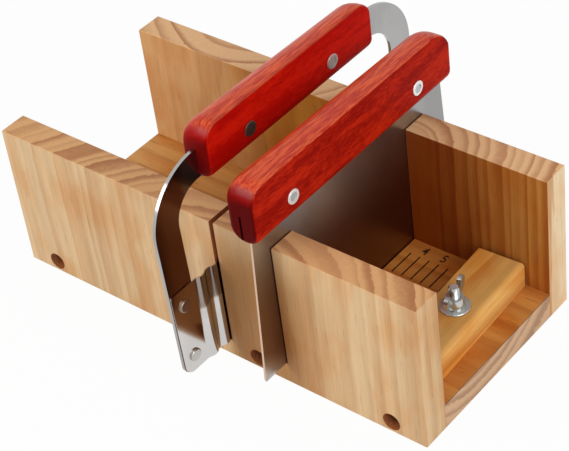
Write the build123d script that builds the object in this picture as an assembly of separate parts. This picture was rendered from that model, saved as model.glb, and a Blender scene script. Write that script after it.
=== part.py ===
from build123d import *
import math
import os

# Soap cutter: a pine box with two kerfed walls, a straight cutter, a wavy cutter and a clamped stop.
# Frame: X along the box, Y across it, Z up, origin at the middle of the box's underside.

# Driving sizes of the box
BOX_LENGTH = 224.6
BOX_WIDTH = 104.8
WALL_HEIGHT = 73.5
WALL_THICKNESS = 13.6
BASE_THICKNESS = 12.8
EASED_EDGE = 0.5

# Kerfs for the two cutters, measured from the stop's end of the box
WAVY_KERF_FROM_END = 102.3
WAVY_KERF_WIDTH = 2.2
KERF_SPACING = 30.9
STRAIGHT_KERF_WIDTH = 1.8
WAVY_KERF_DEPTH_IN_BASE = 4.1
STRAIGHT_KERF_DEPTH_IN_BASE = 2.3

# Wall screws
SCREW_END_INSET = 17.3
SCREW_FROM_WAVY_KERF = 15.0
SCREW_HEIGHT = 5.2
SCREW_BORE_DIAMETER = 8.4
SCREW_BORE_DEPTH = 6.0
SCREW_HEAD_DIAMETER = 7.4
SCREW_HEAD_HEIGHT = 2.4
SCREW_HEAD_ROUND = 1.0
SCREW_SHANK_DIAMETER = 4.0
SCREW_LENGTH = 30.0
SCREW_TIP_LENGTH = 4.0
SCREW_TIP_DIAMETER = 0.8
SCREW_CROSS_LENGTH = 4.0
SCREW_CROSS_WIDTH = 0.9
SCREW_CROSS_DEPTH = 1.3
SCREW_HOLE_CLEARANCE = 0.05

# Ruler engraved in the base, in half centimetres
RULER_PITCH = 5.0
RULER_END_MARGIN = 14.0
RULER_WALL_GAP = 8.7
RULER_MARK_LENGTH = 14.4
RULER_MARK_WIDTH = 0.6
RULER_MARK_DEPTH = 0.25

# Handles of both cutters
HANDLE_THICKNESS = 15.0
HANDLE_TOP_FRONT_ROUND = 1.2
HANDLE_BOTTOM_ROUND = 6.0
HANDLE_END_BOTTOM_ROUND = 3.0
HANDLE_END_FRONT_ROUND = 1.5
HANDLE_END_BACK_ROUNDS = (4.0, 7.0)
SLIT_SIDE_CLEARANCE = 0.05

# Two-part handle rivets: a sleeve from the front and a pin from the back
RIVET_HEAD_DIAMETER = 6.8
RIVET_HEAD_THICKNESS = 1.0
RIVET_HEAD_PROUD = 0.5
RIVET_HEAD_ROUND = 0.3
RIVET_SLEEVE_DIAMETER = 5.0
RIVET_PIN_DIAMETER = 4.0
RIVET_PIN_RECESS = 0.3
RIVET_FIT = 0.03
RIVET_SLEEVE_GAP = 1.2

# Straight cutter
STRAIGHT_BLADE_THICKNESS = 1.0
STRAIGHT_BLADE_OVERHANG = 15.5
STRAIGHT_BLADE_TAPER = 5.0
STRAIGHT_BLADE_IN_HANDLE = 13.2
STRAIGHT_BLADE_CENTRE_Y = 1.8
STRAIGHT_BLADE_CORNER = 0.8
STRAIGHT_EDGE_THICKNESS = 0.4
STRAIGHT_EDGE_HEIGHT = 2.0
STRAIGHT_HANDLE_BEYOND_BLADE = 2.7
STRAIGHT_HANDLE_HEIGHT = 28.3
STRAIGHT_HANDLE_ABOVE_WALL = 12.0
STRAIGHT_HANDLE_CENTRE_Y = -0.5
STRAIGHT_HANDLE_TOP_ROUNDS = (8.5, 13.0)
STRAIGHT_HANDLE_BACK_ROUNDS = (6.5, 10.5)
STRAIGHT_RIVET_FROM_END = 23.9
STRAIGHT_RIVET_CENTRE_Y = -0.9
STRAIGHT_RIVET_ABOVE_BOTTOM = 10.8
STRAIGHT_SLIT_HEADROOM = 0.5

# Wavy cutter
BOW_THICKNESS = 1.5
BOW_CENTRE_Y = 2.9
BOW_WALL_GAP = 19.1
BOW_STRIP_WIDTH = 13.7
BOW_OUTER_RADIUS = 28.5
BOW_ABOVE_WALL = 23.7
BOW_LEG_LEAN_DEGREES = 1.7
BOW_FOOT_OUTER_ROUND = 5.0
BOW_FOOT_INNER_ROUND = 1.0
WAVY_BLADE_THICKNESS = 0.5
WAVY_BLADE_HEIGHT = 44.5
WAVE_PITCH = 8.2
WAVE_AMPLITUDE = 0.65
WAVY_BLADE_INSET = 0.3
WAVY_BLADE_TOP_CORNER = 0.8
WAVY_HANDLE_LENGTH = 107.8
WAVY_HANDLE_HEIGHT = 25.8
WAVY_HANDLE_BELOW_STRIP = 0.4
WAVY_HANDLE_CENTRE_Y = 0.8
WAVY_HANDLE_TOP_ROUNDS = (8.0, 9.0)
WAVY_HANDLE_BACK_ROUNDS = (9.0, 13.5)
WAVY_SLIT_HEADROOM = 1.2
WAVY_RIVET_FROM_END = 26.9
WAVY_RIVET_CENTRE_Y = -0.5
WAVY_RIVET_BELOW_STRIP_TOP = 3.7
LEG_RIVET_ABOVE_FOOT = 7.9
LEG_RIVET_BELOW_BLADE_TOP = 8.6
LEG_RIVET_HEAD_DIAMETER = 6.0
LEG_RIVET_HEAD_HEIGHT = 1.0
LEG_RIVET_HEAD_ROUND = 0.6
LEG_RIVET_SHANK_DIAMETER = 3.0
LEG_RIVET_FIT = 0.03

# Adjustable stop
STOP_READING = 69.0
BLOCK_WIDTH = 22.2
BLOCK_HEIGHT = 13.0
BLOCK_SIDE_CLEARANCE = 1.4
BLOCK_SKEW_DEGREES = 2.6
BLOCK_TOP_ROUND = 2.4
BLOCK_EDGE_ROUND = 0.4
BLOCK_END_ROUND = 0.8
STOP_BLADE_CLEARANCE = 1.5
STOP_TRAVEL_BEYOND_REST = 2.0
BOLT_DIAMETER = 5.0
BOLT_BEYOND_SEAT = 10.0
BOLT_END_CHAMFER = 0.7
BOLT_HEAD_DIAMETER = 12.4
BOLT_HEAD_HEIGHT = 2.7
BOLT_HEAD_ROUND = 2.2
BOLT_NECK_HEIGHT = 3.0
BOLT_SLOT_CLEARANCE = 0.3
BOLT_HOLE_CLEARANCE = 0.1
HEAD_RECESS_CLEARANCE = 0.5
HEAD_RECESS_DEPTH = 6.2
THREAD_PITCH = 0.8
THREAD_DEPTH = 0.35
THREAD_GROOVES = 13
WASHER_DIAMETER = 13.5
WASHER_THICKNESS = 1.0
WASHER_BORE_CLEARANCE = 0.15
WASHER_EDGE_ROUND = 0.3
NUT_HUB_BASE_DIAMETER = 9.2
NUT_HUB_TOP_DIAMETER = 7.8
NUT_HUB_HEIGHT = 4.8
NUT_THREAD_CLEARANCE = 0.05
NUT_HEIGHT = 9.8
NUT_SPAN = 19.4
NUT_WING_THICKNESS = 1.8
NUT_WING_TIP_WIDTH = 4.2
NUT_WING_TIP_ROUND = 1.8
NUT_WING_SHOULDER_HEIGHT = 5.4
NUT_WING_ROOT_HEIGHT = 1.2
NUT_WING_NECK_HEIGHT = 3.6
NUT_WING_DIRECTION_DEGREES = 103.0

# One overrun for every cut that runs out through a face
OVERRUN = 1.0

# Places worked out from the sizes above
HALF_LENGTH = BOX_LENGTH / 2
HALF_WIDTH = BOX_WIDTH / 2
INNER_HALF_WIDTH = HALF_WIDTH - WALL_THICKNESS
WAVY_KERF_X = HALF_LENGTH - WAVY_KERF_FROM_END
STRAIGHT_KERF_X = WAVY_KERF_X + KERF_SPACING
WAVY_KERF_FLOOR = BASE_THICKNESS - WAVY_KERF_DEPTH_IN_BASE
STRAIGHT_KERF_FLOOR = BASE_THICKNESS - STRAIGHT_KERF_DEPTH_IN_BASE
RULER_ZERO_X = WAVY_KERF_X + WAVY_KERF_WIDTH / 2
RULER_NEAR_END_Y = INNER_HALF_WIDTH - RULER_WALL_GAP - RULER_MARK_LENGTH
RULER_MARKS = int((HALF_LENGTH - RULER_END_MARGIN - RULER_ZERO_X) / RULER_PITCH)
SCREW_END_X = HALF_LENGTH - SCREW_END_INSET
SCREW_ROWS_X = (-SCREW_END_X, WAVY_KERF_X + SCREW_FROM_WAVY_KERF, SCREW_END_X)
SCREW_SEAT_Y = HALF_WIDTH - SCREW_BORE_DEPTH
RIVET_HEAD_SUNK = RIVET_HEAD_THICKNESS - RIVET_HEAD_PROUD
STRAIGHT_HANDLE_BOTTOM = WALL_HEIGHT + STRAIGHT_HANDLE_ABOVE_WALL
STRAIGHT_BLADE_TOP = STRAIGHT_HANDLE_BOTTOM + STRAIGHT_BLADE_IN_HANDLE
STRAIGHT_BLADE_BOTTOM_HALF = HALF_WIDTH + STRAIGHT_BLADE_OVERHANG
STRAIGHT_BLADE_TOP_HALF = STRAIGHT_BLADE_BOTTOM_HALF - STRAIGHT_BLADE_TAPER
STRAIGHT_HANDLE_HALF = STRAIGHT_BLADE_TOP_HALF + STRAIGHT_HANDLE_BEYOND_BLADE
BLADE_FLAT_X = WAVY_KERF_X - WAVE_AMPLITUDE
BLADE_FLAT_FRONT_X = BLADE_FLAT_X + WAVY_BLADE_THICKNESS / 2
BOW_FRONT_X = BLADE_FLAT_X - WAVY_BLADE_THICKNESS / 2
BOW_BACK_X = BOW_FRONT_X - BOW_THICKNESS
BOW_MIDDLE_X = (BOW_FRONT_X + BOW_BACK_X) / 2
STRIP_BOTTOM = WALL_HEIGHT + BOW_ABOVE_WALL
STRIP_TOP = STRIP_BOTTOM + BOW_STRIP_WIDTH
BOW_INNER_HALF_WIDTH = HALF_WIDTH + BOW_WALL_GAP
BOW_OUTER_HALF_WIDTH = BOW_INNER_HALF_WIDTH + BOW_STRIP_WIDTH
WAVE_CRESTS_EACH_SIDE = int(BOW_INNER_HALF_WIDTH / WAVE_PITCH)
BOW_LEAN = math.tan(math.radians(BOW_LEG_LEAN_DEGREES))
BOW_WIDEST_HEIGHT = STRIP_TOP - BOW_OUTER_RADIUS
WAVY_BLADE_TOP = WAVY_KERF_FLOOR + WAVY_BLADE_HEIGHT
WAVY_HANDLE_BOTTOM = STRIP_BOTTOM - WAVY_HANDLE_BELOW_STRIP
BLOCK_HALF_WIDTH = BLOCK_WIDTH / 2
BLOCK_HALF_LENGTH = INNER_HALF_WIDTH - BLOCK_SIDE_CLEARANCE
BLOCK_TOP = BASE_THICKNESS + BLOCK_HEIGHT
BLOCK_SKEW = math.radians(BLOCK_SKEW_DEGREES)
BLOCK_CORNER_REACH = BLOCK_HALF_WIDTH * math.cos(BLOCK_SKEW) + BLOCK_HALF_LENGTH * math.sin(BLOCK_SKEW)
BOLT_X = RULER_ZERO_X + STOP_READING + BLOCK_HALF_WIDTH
STRAIGHT_KERF_RIGHT_X = STRAIGHT_KERF_X + STRAIGHT_KERF_WIDTH / 2
BOLT_NEAREST_X = STRAIGHT_KERF_RIGHT_X + STOP_BLADE_CLEARANCE + BLOCK_CORNER_REACH
BOLT_FARTHEST_X = BOLT_X + STOP_TRAVEL_BEYOND_REST
NUT_SEAT = BLOCK_TOP + WASHER_THICKNESS
BOLT_TOP = NUT_SEAT + BOLT_BEYOND_SEAT


# Shapes used all over


def block_between(x_span, y_span, z_span):
    """A box from its lowest and highest values along X, Y and Z."""
    size = [span[1] - span[0] for span in (x_span, y_span, z_span)]
    middle = [(span[1] + span[0]) / 2 for span in (x_span, y_span, z_span)]
    return Pos(*middle) * Box(*size)


def rod_along_x(x_span, radius, y, z):
    """A round rod along X."""
    rod = Rot(0, 90, 0) * Cylinder(radius, x_span[1] - x_span[0])
    return Pos((x_span[0] + x_span[1]) / 2, y, z) * rod


def rod_along_y(y_span, radius, x, z):
    """A round rod along Y."""
    rod = Rot(90, 0, 0) * Cylinder(radius, abs(y_span[1] - y_span[0]))
    return Pos(x, (y_span[0] + y_span[1]) / 2, z) * rod


def rod_along_z(z_span, radius, x, y):
    """A round rod along Z."""
    return Pos(x, y, (z_span[0] + z_span[1]) / 2) * Cylinder(radius, z_span[1] - z_span[0])


def rounded_outline(corners, place):
    """A flat face from corners (a, b, rounding), with place(a, b) giving each point in space."""
    starts = []
    edges = []
    ends = []
    for index, (a, b, radius) in enumerate(corners):
        corner = Vector(a, b)
        before = Vector(*corners[index - 1][:2])
        after = Vector(*corners[(index + 1) % len(corners)][:2])
        to_before = (before - corner).normalized()
        to_after = (after - corner).normalized()
        half_angle = math.acos(to_before.dot(to_after)) / 2
        reach = radius / math.tan(half_angle)
        start = corner + to_before * reach
        end = corner + to_after * reach
        starts.append(start)
        ends.append(end)
        if radius > 0:
            inward = (to_before + to_after).normalized()
            middle = corner + inward * (radius / math.sin(half_angle) - radius)
            points = [place(point.X, point.Y) for point in (start, middle, end)]
            edges.append(ThreePointArc(*points))
    for index, end in enumerate(ends):
        start = starts[(index + 1) % len(starts)]
        edges.append(Line(place(end.X, end.Y), place(start.X, start.Y)))
    return Face(Wire(edges))


def prism_along_x(corners, x_span):
    """An outline of (y, z, rounding) corners carried along X."""
    face = rounded_outline(corners, lambda a, b: (x_span[0], a, b))
    return extrude(face, x_span[1] - x_span[0], dir=(1, 0, 0))


def prism_along_y(corners, y_span):
    """An outline of (x, z, rounding) corners carried along Y."""
    face = rounded_outline(corners, lambda a, b: (a, y_span[0], b))
    return extrude(face, y_span[1] - y_span[0], dir=(0, 1, 0))


def prism_along_z(corners, z_span):
    """An outline of (x, y, rounding) corners carried along Z."""
    face = rounded_outline(corners, lambda a, b: (a, b, z_span[0]))
    return extrude(face, z_span[1] - z_span[0], dir=(0, 0, 1))


def write(shape, node):
    """Writes one piece, or one group of like pieces, under its node's name."""
    export_step(shape, "parts/" + node + ".step")


# Box


def kerf_cut(x, width, floor, half_width):
    """The saw cut of one cutter, from the kerf's floor up past the wall's top."""
    x_span = (x - width / 2, x + width / 2)
    return block_between(x_span, (-half_width, half_width), (floor, WALL_HEIGHT + OVERRUN))


def both_kerfs(half_width):
    """The two saw cuts, across everything within the given half width."""
    wavy = kerf_cut(WAVY_KERF_X, WAVY_KERF_WIDTH, WAVY_KERF_FLOOR, half_width)
    straight = kerf_cut(STRAIGHT_KERF_X, STRAIGHT_KERF_WIDTH, STRAIGHT_KERF_FLOOR, half_width)
    return [wavy, straight]


def screw_holes(side):
    """Counterbores and shank holes for one wall's screws. Side is -1 near and 1 far."""
    outside = side * (HALF_WIDTH + OVERRUN)
    seat = side * SCREW_SEAT_Y
    shank_end = side * (SCREW_SEAT_Y - SCREW_LENGTH)
    shank_radius = SCREW_SHANK_DIAMETER / 2 + SCREW_HOLE_CLEARANCE
    holes = []
    for x in SCREW_ROWS_X:
        holes.append(rod_along_y((outside, seat), SCREW_BORE_DIAMETER / 2, x, SCREW_HEIGHT))
        holes.append(rod_along_y((outside, shank_end), shank_radius, x, SCREW_HEIGHT))
    return holes


def wall(side):
    """One side wall, with eased edges, two kerfs and its screw holes."""
    inner = side * INNER_HALF_WIDTH
    outer = side * HALF_WIDTH
    y_span = (min(inner, outer), max(inner, outer))
    board = block_between((-HALF_LENGTH, HALF_LENGTH), y_span, (0, WALL_HEIGHT))
    top_edges = board.faces().sort_by(Axis.Z)[-1].edges()
    outer_face = board.faces().sort_by(Axis.Y)[0 if side < 0 else -1]
    upright_edges = outer_face.edges().filter_by(Axis.Z)
    board = fillet(top_edges + upright_edges, EASED_EDGE)
    for cut in both_kerfs(HALF_WIDTH + OVERRUN) + screw_holes(side):
        board = board - cut
    return board


def wood_screw():
    """A round-head wood screw, head up, with its seat at zero and its point down."""
    head = rod_along_z((0, SCREW_HEAD_HEIGHT), SCREW_HEAD_DIAMETER / 2, 0, 0)
    head = fillet(head.edges().sort_by(Axis.Z)[-1], SCREW_HEAD_ROUND)
    shank_length = SCREW_LENGTH - SCREW_TIP_LENGTH
    shank = rod_along_z((-shank_length, 0), SCREW_SHANK_DIAMETER / 2, 0, 0)
    tip = Cone(SCREW_TIP_DIAMETER / 2, SCREW_SHANK_DIAMETER / 2, SCREW_TIP_LENGTH)
    tip = Pos(0, 0, -shank_length - SCREW_TIP_LENGTH / 2) * tip
    screw = head + shank + tip
    half_length = SCREW_CROSS_LENGTH / 2
    half_width = SCREW_CROSS_WIDTH / 2
    z_span = (SCREW_HEAD_HEIGHT - SCREW_CROSS_DEPTH, SCREW_HEAD_HEIGHT + OVERRUN)
    screw = screw - block_between((-half_length, half_length), (-half_width, half_width), z_span)
    return screw - block_between((-half_width, half_width), (-half_length, half_length), z_span)


def wall_screws(side):
    """The three screws of one wall, seated in their counterbores."""
    turned = Rot(-90 * side, 0, 0) * wood_screw()
    return Compound(children=[Pos(x, side * SCREW_SEAT_Y, SCREW_HEIGHT) * turned for x in SCREW_ROWS_X])


def slot_along_base(radius, z_start, z_end):
    """A round-ended slot along the base, as long as the stop's travel needs."""
    first = BOLT_NEAREST_X - BOLT_DIAMETER / 2
    last = BOLT_FARTHEST_X + BOLT_DIAMETER / 2
    outline = Pos((first + last) / 2, 0, z_start) * SlotCenterToCenter(last - first, 2 * radius)
    return extrude(outline, z_end - z_start)


def ruler_mark(x):
    """One engraved line of the ruler."""
    x_span = (x - RULER_MARK_WIDTH / 2, x + RULER_MARK_WIDTH / 2)
    y_span = (RULER_NEAR_END_Y, RULER_NEAR_END_Y + RULER_MARK_LENGTH)
    return block_between(x_span, y_span, (BASE_THICKNESS - RULER_MARK_DEPTH, BASE_THICKNESS + OVERRUN))


def ruler_places():
    """The X of every ruler line that isn't sawn away by the straight kerf."""
    places = [RULER_ZERO_X + index * RULER_PITCH for index in range(1, RULER_MARKS + 1)]
    sawn = STRAIGHT_KERF_WIDTH / 2 + RULER_MARK_WIDTH
    return [x for x in places if abs(x - STRAIGHT_KERF_X) > sawn]


def base_board():
    """The bottom board, with the kerfs, the stop's slot and recess, and the ruler."""
    y_span = (-INNER_HALF_WIDTH, INNER_HALF_WIDTH)
    board = block_between((-HALF_LENGTH, HALF_LENGTH), y_span, (0, BASE_THICKNESS))
    slot_radius = BOLT_DIAMETER / 2 + BOLT_SLOT_CLEARANCE
    recess_radius = BOLT_HEAD_DIAMETER / 2 + HEAD_RECESS_CLEARANCE
    cuts = both_kerfs(HALF_WIDTH) + screw_holes(-1) + screw_holes(1)
    cuts.append(slot_along_base(slot_radius, -OVERRUN, BASE_THICKNESS + OVERRUN))
    cuts.append(slot_along_base(recess_radius, -OVERRUN, HEAD_RECESS_DEPTH))
    cuts += [ruler_mark(x) for x in ruler_places()]
    for cut in cuts:
        board = board - cut
    return board


# Handles and their rivets


def handle_section(x_span, z_span, y, back_round):
    """A handle's section: crisp front top edge, round bottom, and a back rounding that varies."""
    back, front = x_span
    low, high = z_span
    corners = [
        (back, low, HANDLE_BOTTOM_ROUND),
        (front, low, HANDLE_BOTTOM_ROUND),
        (front, high, HANDLE_TOP_FRONT_ROUND),
        (back, high, back_round),
    ]
    return rounded_outline(corners, lambda a, b: (a, y, b))


def handle_body(middle_x, y_span, z_span, top_rounds, back_rounds):
    """A handle without its slit: rounder along its back towards the far end, with eased ends."""
    back = middle_x - HANDLE_THICKNESS / 2
    front = middle_x + HANDLE_THICKNESS / 2
    near, far = y_span
    low, high = z_span
    ends = zip(y_span, back_rounds)
    body = loft([handle_section((back, front), z_span, y, back_round) for y, back_round in ends], ruled=True)
    side = [
        (near, low, HANDLE_END_BOTTOM_ROUND),
        (far, low, HANDLE_END_BOTTOM_ROUND),
        (far, high, top_rounds[1]),
        (near, high, top_rounds[0]),
    ]
    plan = [
        (back, near, HANDLE_END_BACK_ROUNDS[0]),
        (front, near, HANDLE_END_FRONT_ROUND),
        (front, far, HANDLE_END_FRONT_ROUND),
        (back, far, HANDLE_END_BACK_ROUNDS[1]),
    ]
    body = body & prism_along_x(side, (back, front))
    return body & prism_along_z(plan, z_span)


def handle(middle_x, y_span, z_span, top_rounds, back_rounds, slit, rivet_places):
    """A handle with its slit from below, given as (width, top), and its rivet holes."""
    slit_width, slit_top = slit
    slit_x = (middle_x - slit_width / 2, middle_x + slit_width / 2)
    slit_y = (y_span[0] - OVERRUN, y_span[1] + OVERRUN)
    body = handle_body(middle_x, y_span, z_span, top_rounds, back_rounds)
    body = body - block_between(slit_x, slit_y, (z_span[0] - OVERRUN, slit_top))
    reach = HANDLE_THICKNESS / 2
    seat = reach - RIVET_HEAD_SUNK
    hole_radius = RIVET_SLEEVE_DIAMETER / 2 + RIVET_FIT
    bore_radius = RIVET_HEAD_DIAMETER / 2 + RIVET_FIT
    for y, z in rivet_places:
        x_through = (middle_x - reach - OVERRUN, middle_x + reach + OVERRUN)
        body = body - rod_along_x(x_through, hole_radius, y, z)
        body = body - rod_along_x((x_through[0], middle_x - seat), bore_radius, y, z)
        body = body - rod_along_x((middle_x + seat, x_through[1]), bore_radius, y, z)
    return body


def rivet_sleeve(middle_x, y, z):
    """The front half of a handle rivet: a tube whose rim is the bright ring."""
    face = middle_x + HANDLE_THICKNESS / 2
    head_x = (face - RIVET_HEAD_SUNK, face + RIVET_HEAD_PROUD)
    head = rod_along_x(head_x, RIVET_HEAD_DIAMETER / 2, y, z)
    head = fillet(head.edges().sort_by(Axis.X)[-1], RIVET_HEAD_ROUND)
    tube_start = middle_x - HANDLE_THICKNESS / 2 + RIVET_HEAD_SUNK + RIVET_SLEEVE_GAP
    sleeve = head + rod_along_x((tube_start, head_x[0]), RIVET_SLEEVE_DIAMETER / 2, y, z)
    bore_radius = RIVET_PIN_DIAMETER / 2 + RIVET_FIT
    return sleeve - rod_along_x((tube_start - OVERRUN, head_x[1] + OVERRUN), bore_radius, y, z)


def rivet_pin(middle_x, y, z):
    """The back half of a handle rivet: a pin whose end is the dull disc in the ring."""
    face = middle_x - HANDLE_THICKNESS / 2
    head_x = (face - RIVET_HEAD_PROUD, face + RIVET_HEAD_SUNK)
    head = rod_along_x(head_x, RIVET_HEAD_DIAMETER / 2, y, z)
    head = fillet(head.edges().sort_by(Axis.X)[0], RIVET_HEAD_ROUND)
    pin_end = middle_x + HANDLE_THICKNESS / 2 + RIVET_HEAD_PROUD - RIVET_PIN_RECESS
    return head + rod_along_x((head_x[1], pin_end), RIVET_PIN_DIAMETER / 2, y, z)


def write_handle_rivets(cutter, middle_x, rivet_places):
    """Writes the sleeve and pin of the near and the far rivet of one cutter."""
    for end, (y, z) in zip(("near", "far"), rivet_places):
        write(rivet_sleeve(middle_x, y, z), cutter + "_" + end + "_rivet_sleeve")
        write(rivet_pin(middle_x, y, z), cutter + "_" + end + "_rivet_pin")


def rivet_pair(centre_y, half_spacing, z):
    """The near and the far rivet's place in a handle."""
    return [(centre_y - half_spacing, z), (centre_y + half_spacing, z)]


# Straight cutter


def straight_rivet_places():
    """Where the straight cutter's two rivets go."""
    height = STRAIGHT_HANDLE_BOTTOM + STRAIGHT_RIVET_ABOVE_BOTTOM
    half_spacing = STRAIGHT_HANDLE_HALF - STRAIGHT_RIVET_FROM_END
    return rivet_pair(STRAIGHT_RIVET_CENTRE_Y, half_spacing, height)


def straight_blade():
    """The flat blade: wider at its bottom, thinned towards the cutting edge."""
    thick = STRAIGHT_BLADE_THICKNESS / 2
    thin = STRAIGHT_EDGE_THICKNESS / 2
    x = STRAIGHT_KERF_X
    bottom = STRAIGHT_BLADE_BOTTOM_HALF
    top = STRAIGHT_BLADE_TOP_HALF
    middle = STRAIGHT_BLADE_CENTRE_Y
    outline = [
        (middle - bottom, STRAIGHT_KERF_FLOOR, STRAIGHT_BLADE_CORNER),
        (middle + bottom, STRAIGHT_KERF_FLOOR, STRAIGHT_BLADE_CORNER),
        (middle + top, STRAIGHT_BLADE_TOP, STRAIGHT_BLADE_CORNER),
        (middle - top, STRAIGHT_BLADE_TOP, STRAIGHT_BLADE_CORNER),
    ]
    section = [
        (x - thin, STRAIGHT_KERF_FLOOR, 0),
        (x + thin, STRAIGHT_KERF_FLOOR, 0),
        (x + thick, STRAIGHT_KERF_FLOOR + STRAIGHT_EDGE_HEIGHT, 0),
        (x + thick, STRAIGHT_BLADE_TOP, 0),
        (x - thick, STRAIGHT_BLADE_TOP, 0),
        (x - thick, STRAIGHT_KERF_FLOOR + STRAIGHT_EDGE_HEIGHT, 0),
    ]
    blade = prism_along_x(outline, (x - thick, x + thick))
    blade = blade & prism_along_y(section, (middle - bottom, middle + bottom))
    hole_radius = RIVET_SLEEVE_DIAMETER / 2 + RIVET_FIT
    for y, z in straight_rivet_places():
        blade = blade - rod_along_x((x - OVERRUN, x + OVERRUN), hole_radius, y, z)
    return blade


def straight_handle():
    """The front handle."""
    half = STRAIGHT_HANDLE_HALF
    y_span = (STRAIGHT_HANDLE_CENTRE_Y - half, STRAIGHT_HANDLE_CENTRE_Y + half)
    z_span = (STRAIGHT_HANDLE_BOTTOM, STRAIGHT_HANDLE_BOTTOM + STRAIGHT_HANDLE_HEIGHT)
    slit = (STRAIGHT_BLADE_THICKNESS + 2 * SLIT_SIDE_CLEARANCE, STRAIGHT_BLADE_TOP + STRAIGHT_SLIT_HEADROOM)
    places = straight_rivet_places()
    rounds = (STRAIGHT_HANDLE_TOP_ROUNDS, STRAIGHT_HANDLE_BACK_ROUNDS)
    return handle(STRAIGHT_KERF_X, y_span, z_span, *rounds, slit, places)


# Wavy cutter


def wavy_rivet_places():
    """Where the wavy cutter's two handle rivets go."""
    height = STRIP_TOP - WAVY_RIVET_BELOW_STRIP_TOP
    half_spacing = WAVY_HANDLE_LENGTH / 2 - WAVY_RIVET_FROM_END
    return rivet_pair(WAVY_RIVET_CENTRE_Y, half_spacing, height)


def leg_outer(z):
    """How far a leg's outer edge is from the bow's middle, at a height."""
    return BOW_OUTER_HALF_WIDTH - (BOW_WIDEST_HEIGHT - z) * BOW_LEAN


def leg_rivet_places(side):
    """Where the two rivets of one leg go."""
    heights = [WAVY_KERF_FLOOR + LEG_RIVET_ABOVE_FOOT, WAVY_BLADE_TOP - LEG_RIVET_BELOW_BLADE_TOP]
    return [(BOW_CENTRE_Y + side * (leg_outer(z) - BOW_STRIP_WIDTH / 2), z) for z in heights]


def leg_rivet_holes():
    """Holes through the bow and the blade for the rivets of both legs."""
    x_span = (BOW_BACK_X - OVERRUN, BLADE_FLAT_FRONT_X + OVERRUN)
    radius = LEG_RIVET_SHANK_DIAMETER / 2 + LEG_RIVET_FIT
    places = leg_rivet_places(-1) + leg_rivet_places(1)
    return [rod_along_x(x_span, radius, y, z) for y, z in places]


def wavy_bow():
    """The flat plate bow: a tang through the handle, two arches and two legs."""
    middle = BOW_CENTRE_Y
    foot = leg_outer(WAVY_KERF_FLOOR)
    shoulder = leg_outer(STRIP_TOP)
    inner_foot = foot - BOW_STRIP_WIDTH
    inner_shoulder = leg_outer(STRIP_BOTTOM) - BOW_STRIP_WIDTH
    inner_radius = BOW_OUTER_RADIUS - BOW_STRIP_WIDTH
    outline = [
        (middle - foot, WAVY_KERF_FLOOR, BOW_FOOT_OUTER_ROUND),
        (middle - inner_foot, WAVY_KERF_FLOOR, BOW_FOOT_INNER_ROUND),
        (middle - inner_shoulder, STRIP_BOTTOM, inner_radius),
        (middle + inner_shoulder, STRIP_BOTTOM, inner_radius),
        (middle + inner_foot, WAVY_KERF_FLOOR, BOW_FOOT_INNER_ROUND),
        (middle + foot, WAVY_KERF_FLOOR, BOW_FOOT_OUTER_ROUND),
        (middle + shoulder, STRIP_TOP, BOW_OUTER_RADIUS),
        (middle - shoulder, STRIP_TOP, BOW_OUTER_RADIUS),
    ]
    bow = prism_along_x(outline, (BOW_BACK_X, BOW_FRONT_X))
    rivet_radius = RIVET_SLEEVE_DIAMETER / 2 + RIVET_FIT
    x_span = (BOW_BACK_X - OVERRUN, BOW_FRONT_X + OVERRUN)
    holes = [rod_along_x(x_span, rivet_radius, y, z) for y, z in wavy_rivet_places()]
    for hole in holes + leg_rivet_holes():
        bow = bow - hole
    return bow


def wave_side(offset, reach):
    """One face of the corrugated sheet seen from above, as tangent arcs between two flat ends."""
    quarter = WAVE_PITCH / 4
    radius = (quarter**2 + WAVE_AMPLITUDE**2) / (2 * WAVE_AMPLITUDE)
    sweep = math.asin(quarter / radius)
    last = 2 * WAVE_CRESTS_EACH_SIDE + 1
    flat_x = BLADE_FLAT_X + offset
    edges = []
    for index in range(-last, last + 1):
        sign = 1 if index % 2 == 0 else -1
        centre_x = WAVY_KERF_X + sign * (WAVE_AMPLITUDE - radius)
        centre_y = BOW_CENTRE_Y + index * 2 * quarter
        arc_radius = radius + sign * offset
        first_angle = 0 if index == -last else -sweep
        last_angle = 0 if index == last else sweep
        angles = (first_angle, (first_angle + last_angle) / 2, last_angle)
        points = []
        for angle in angles:
            x = centre_x + sign * arc_radius * math.cos(angle)
            points.append((x, centre_y + arc_radius * math.sin(angle), WAVY_KERF_FLOOR))
        edges.append(ThreePointArc(*points))
    near_end = (flat_x, BOW_CENTRE_Y - reach, WAVY_KERF_FLOOR)
    far_end = (flat_x, BOW_CENTRE_Y + reach, WAVY_KERF_FLOOR)
    near_flat = (flat_x, BOW_CENTRE_Y - last * 2 * quarter, WAVY_KERF_FLOOR)
    far_flat = (flat_x, BOW_CENTRE_Y + last * 2 * quarter, WAVY_KERF_FLOOR)
    return [Line(near_end, near_flat)] + edges + [Line(far_flat, far_end)]


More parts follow.
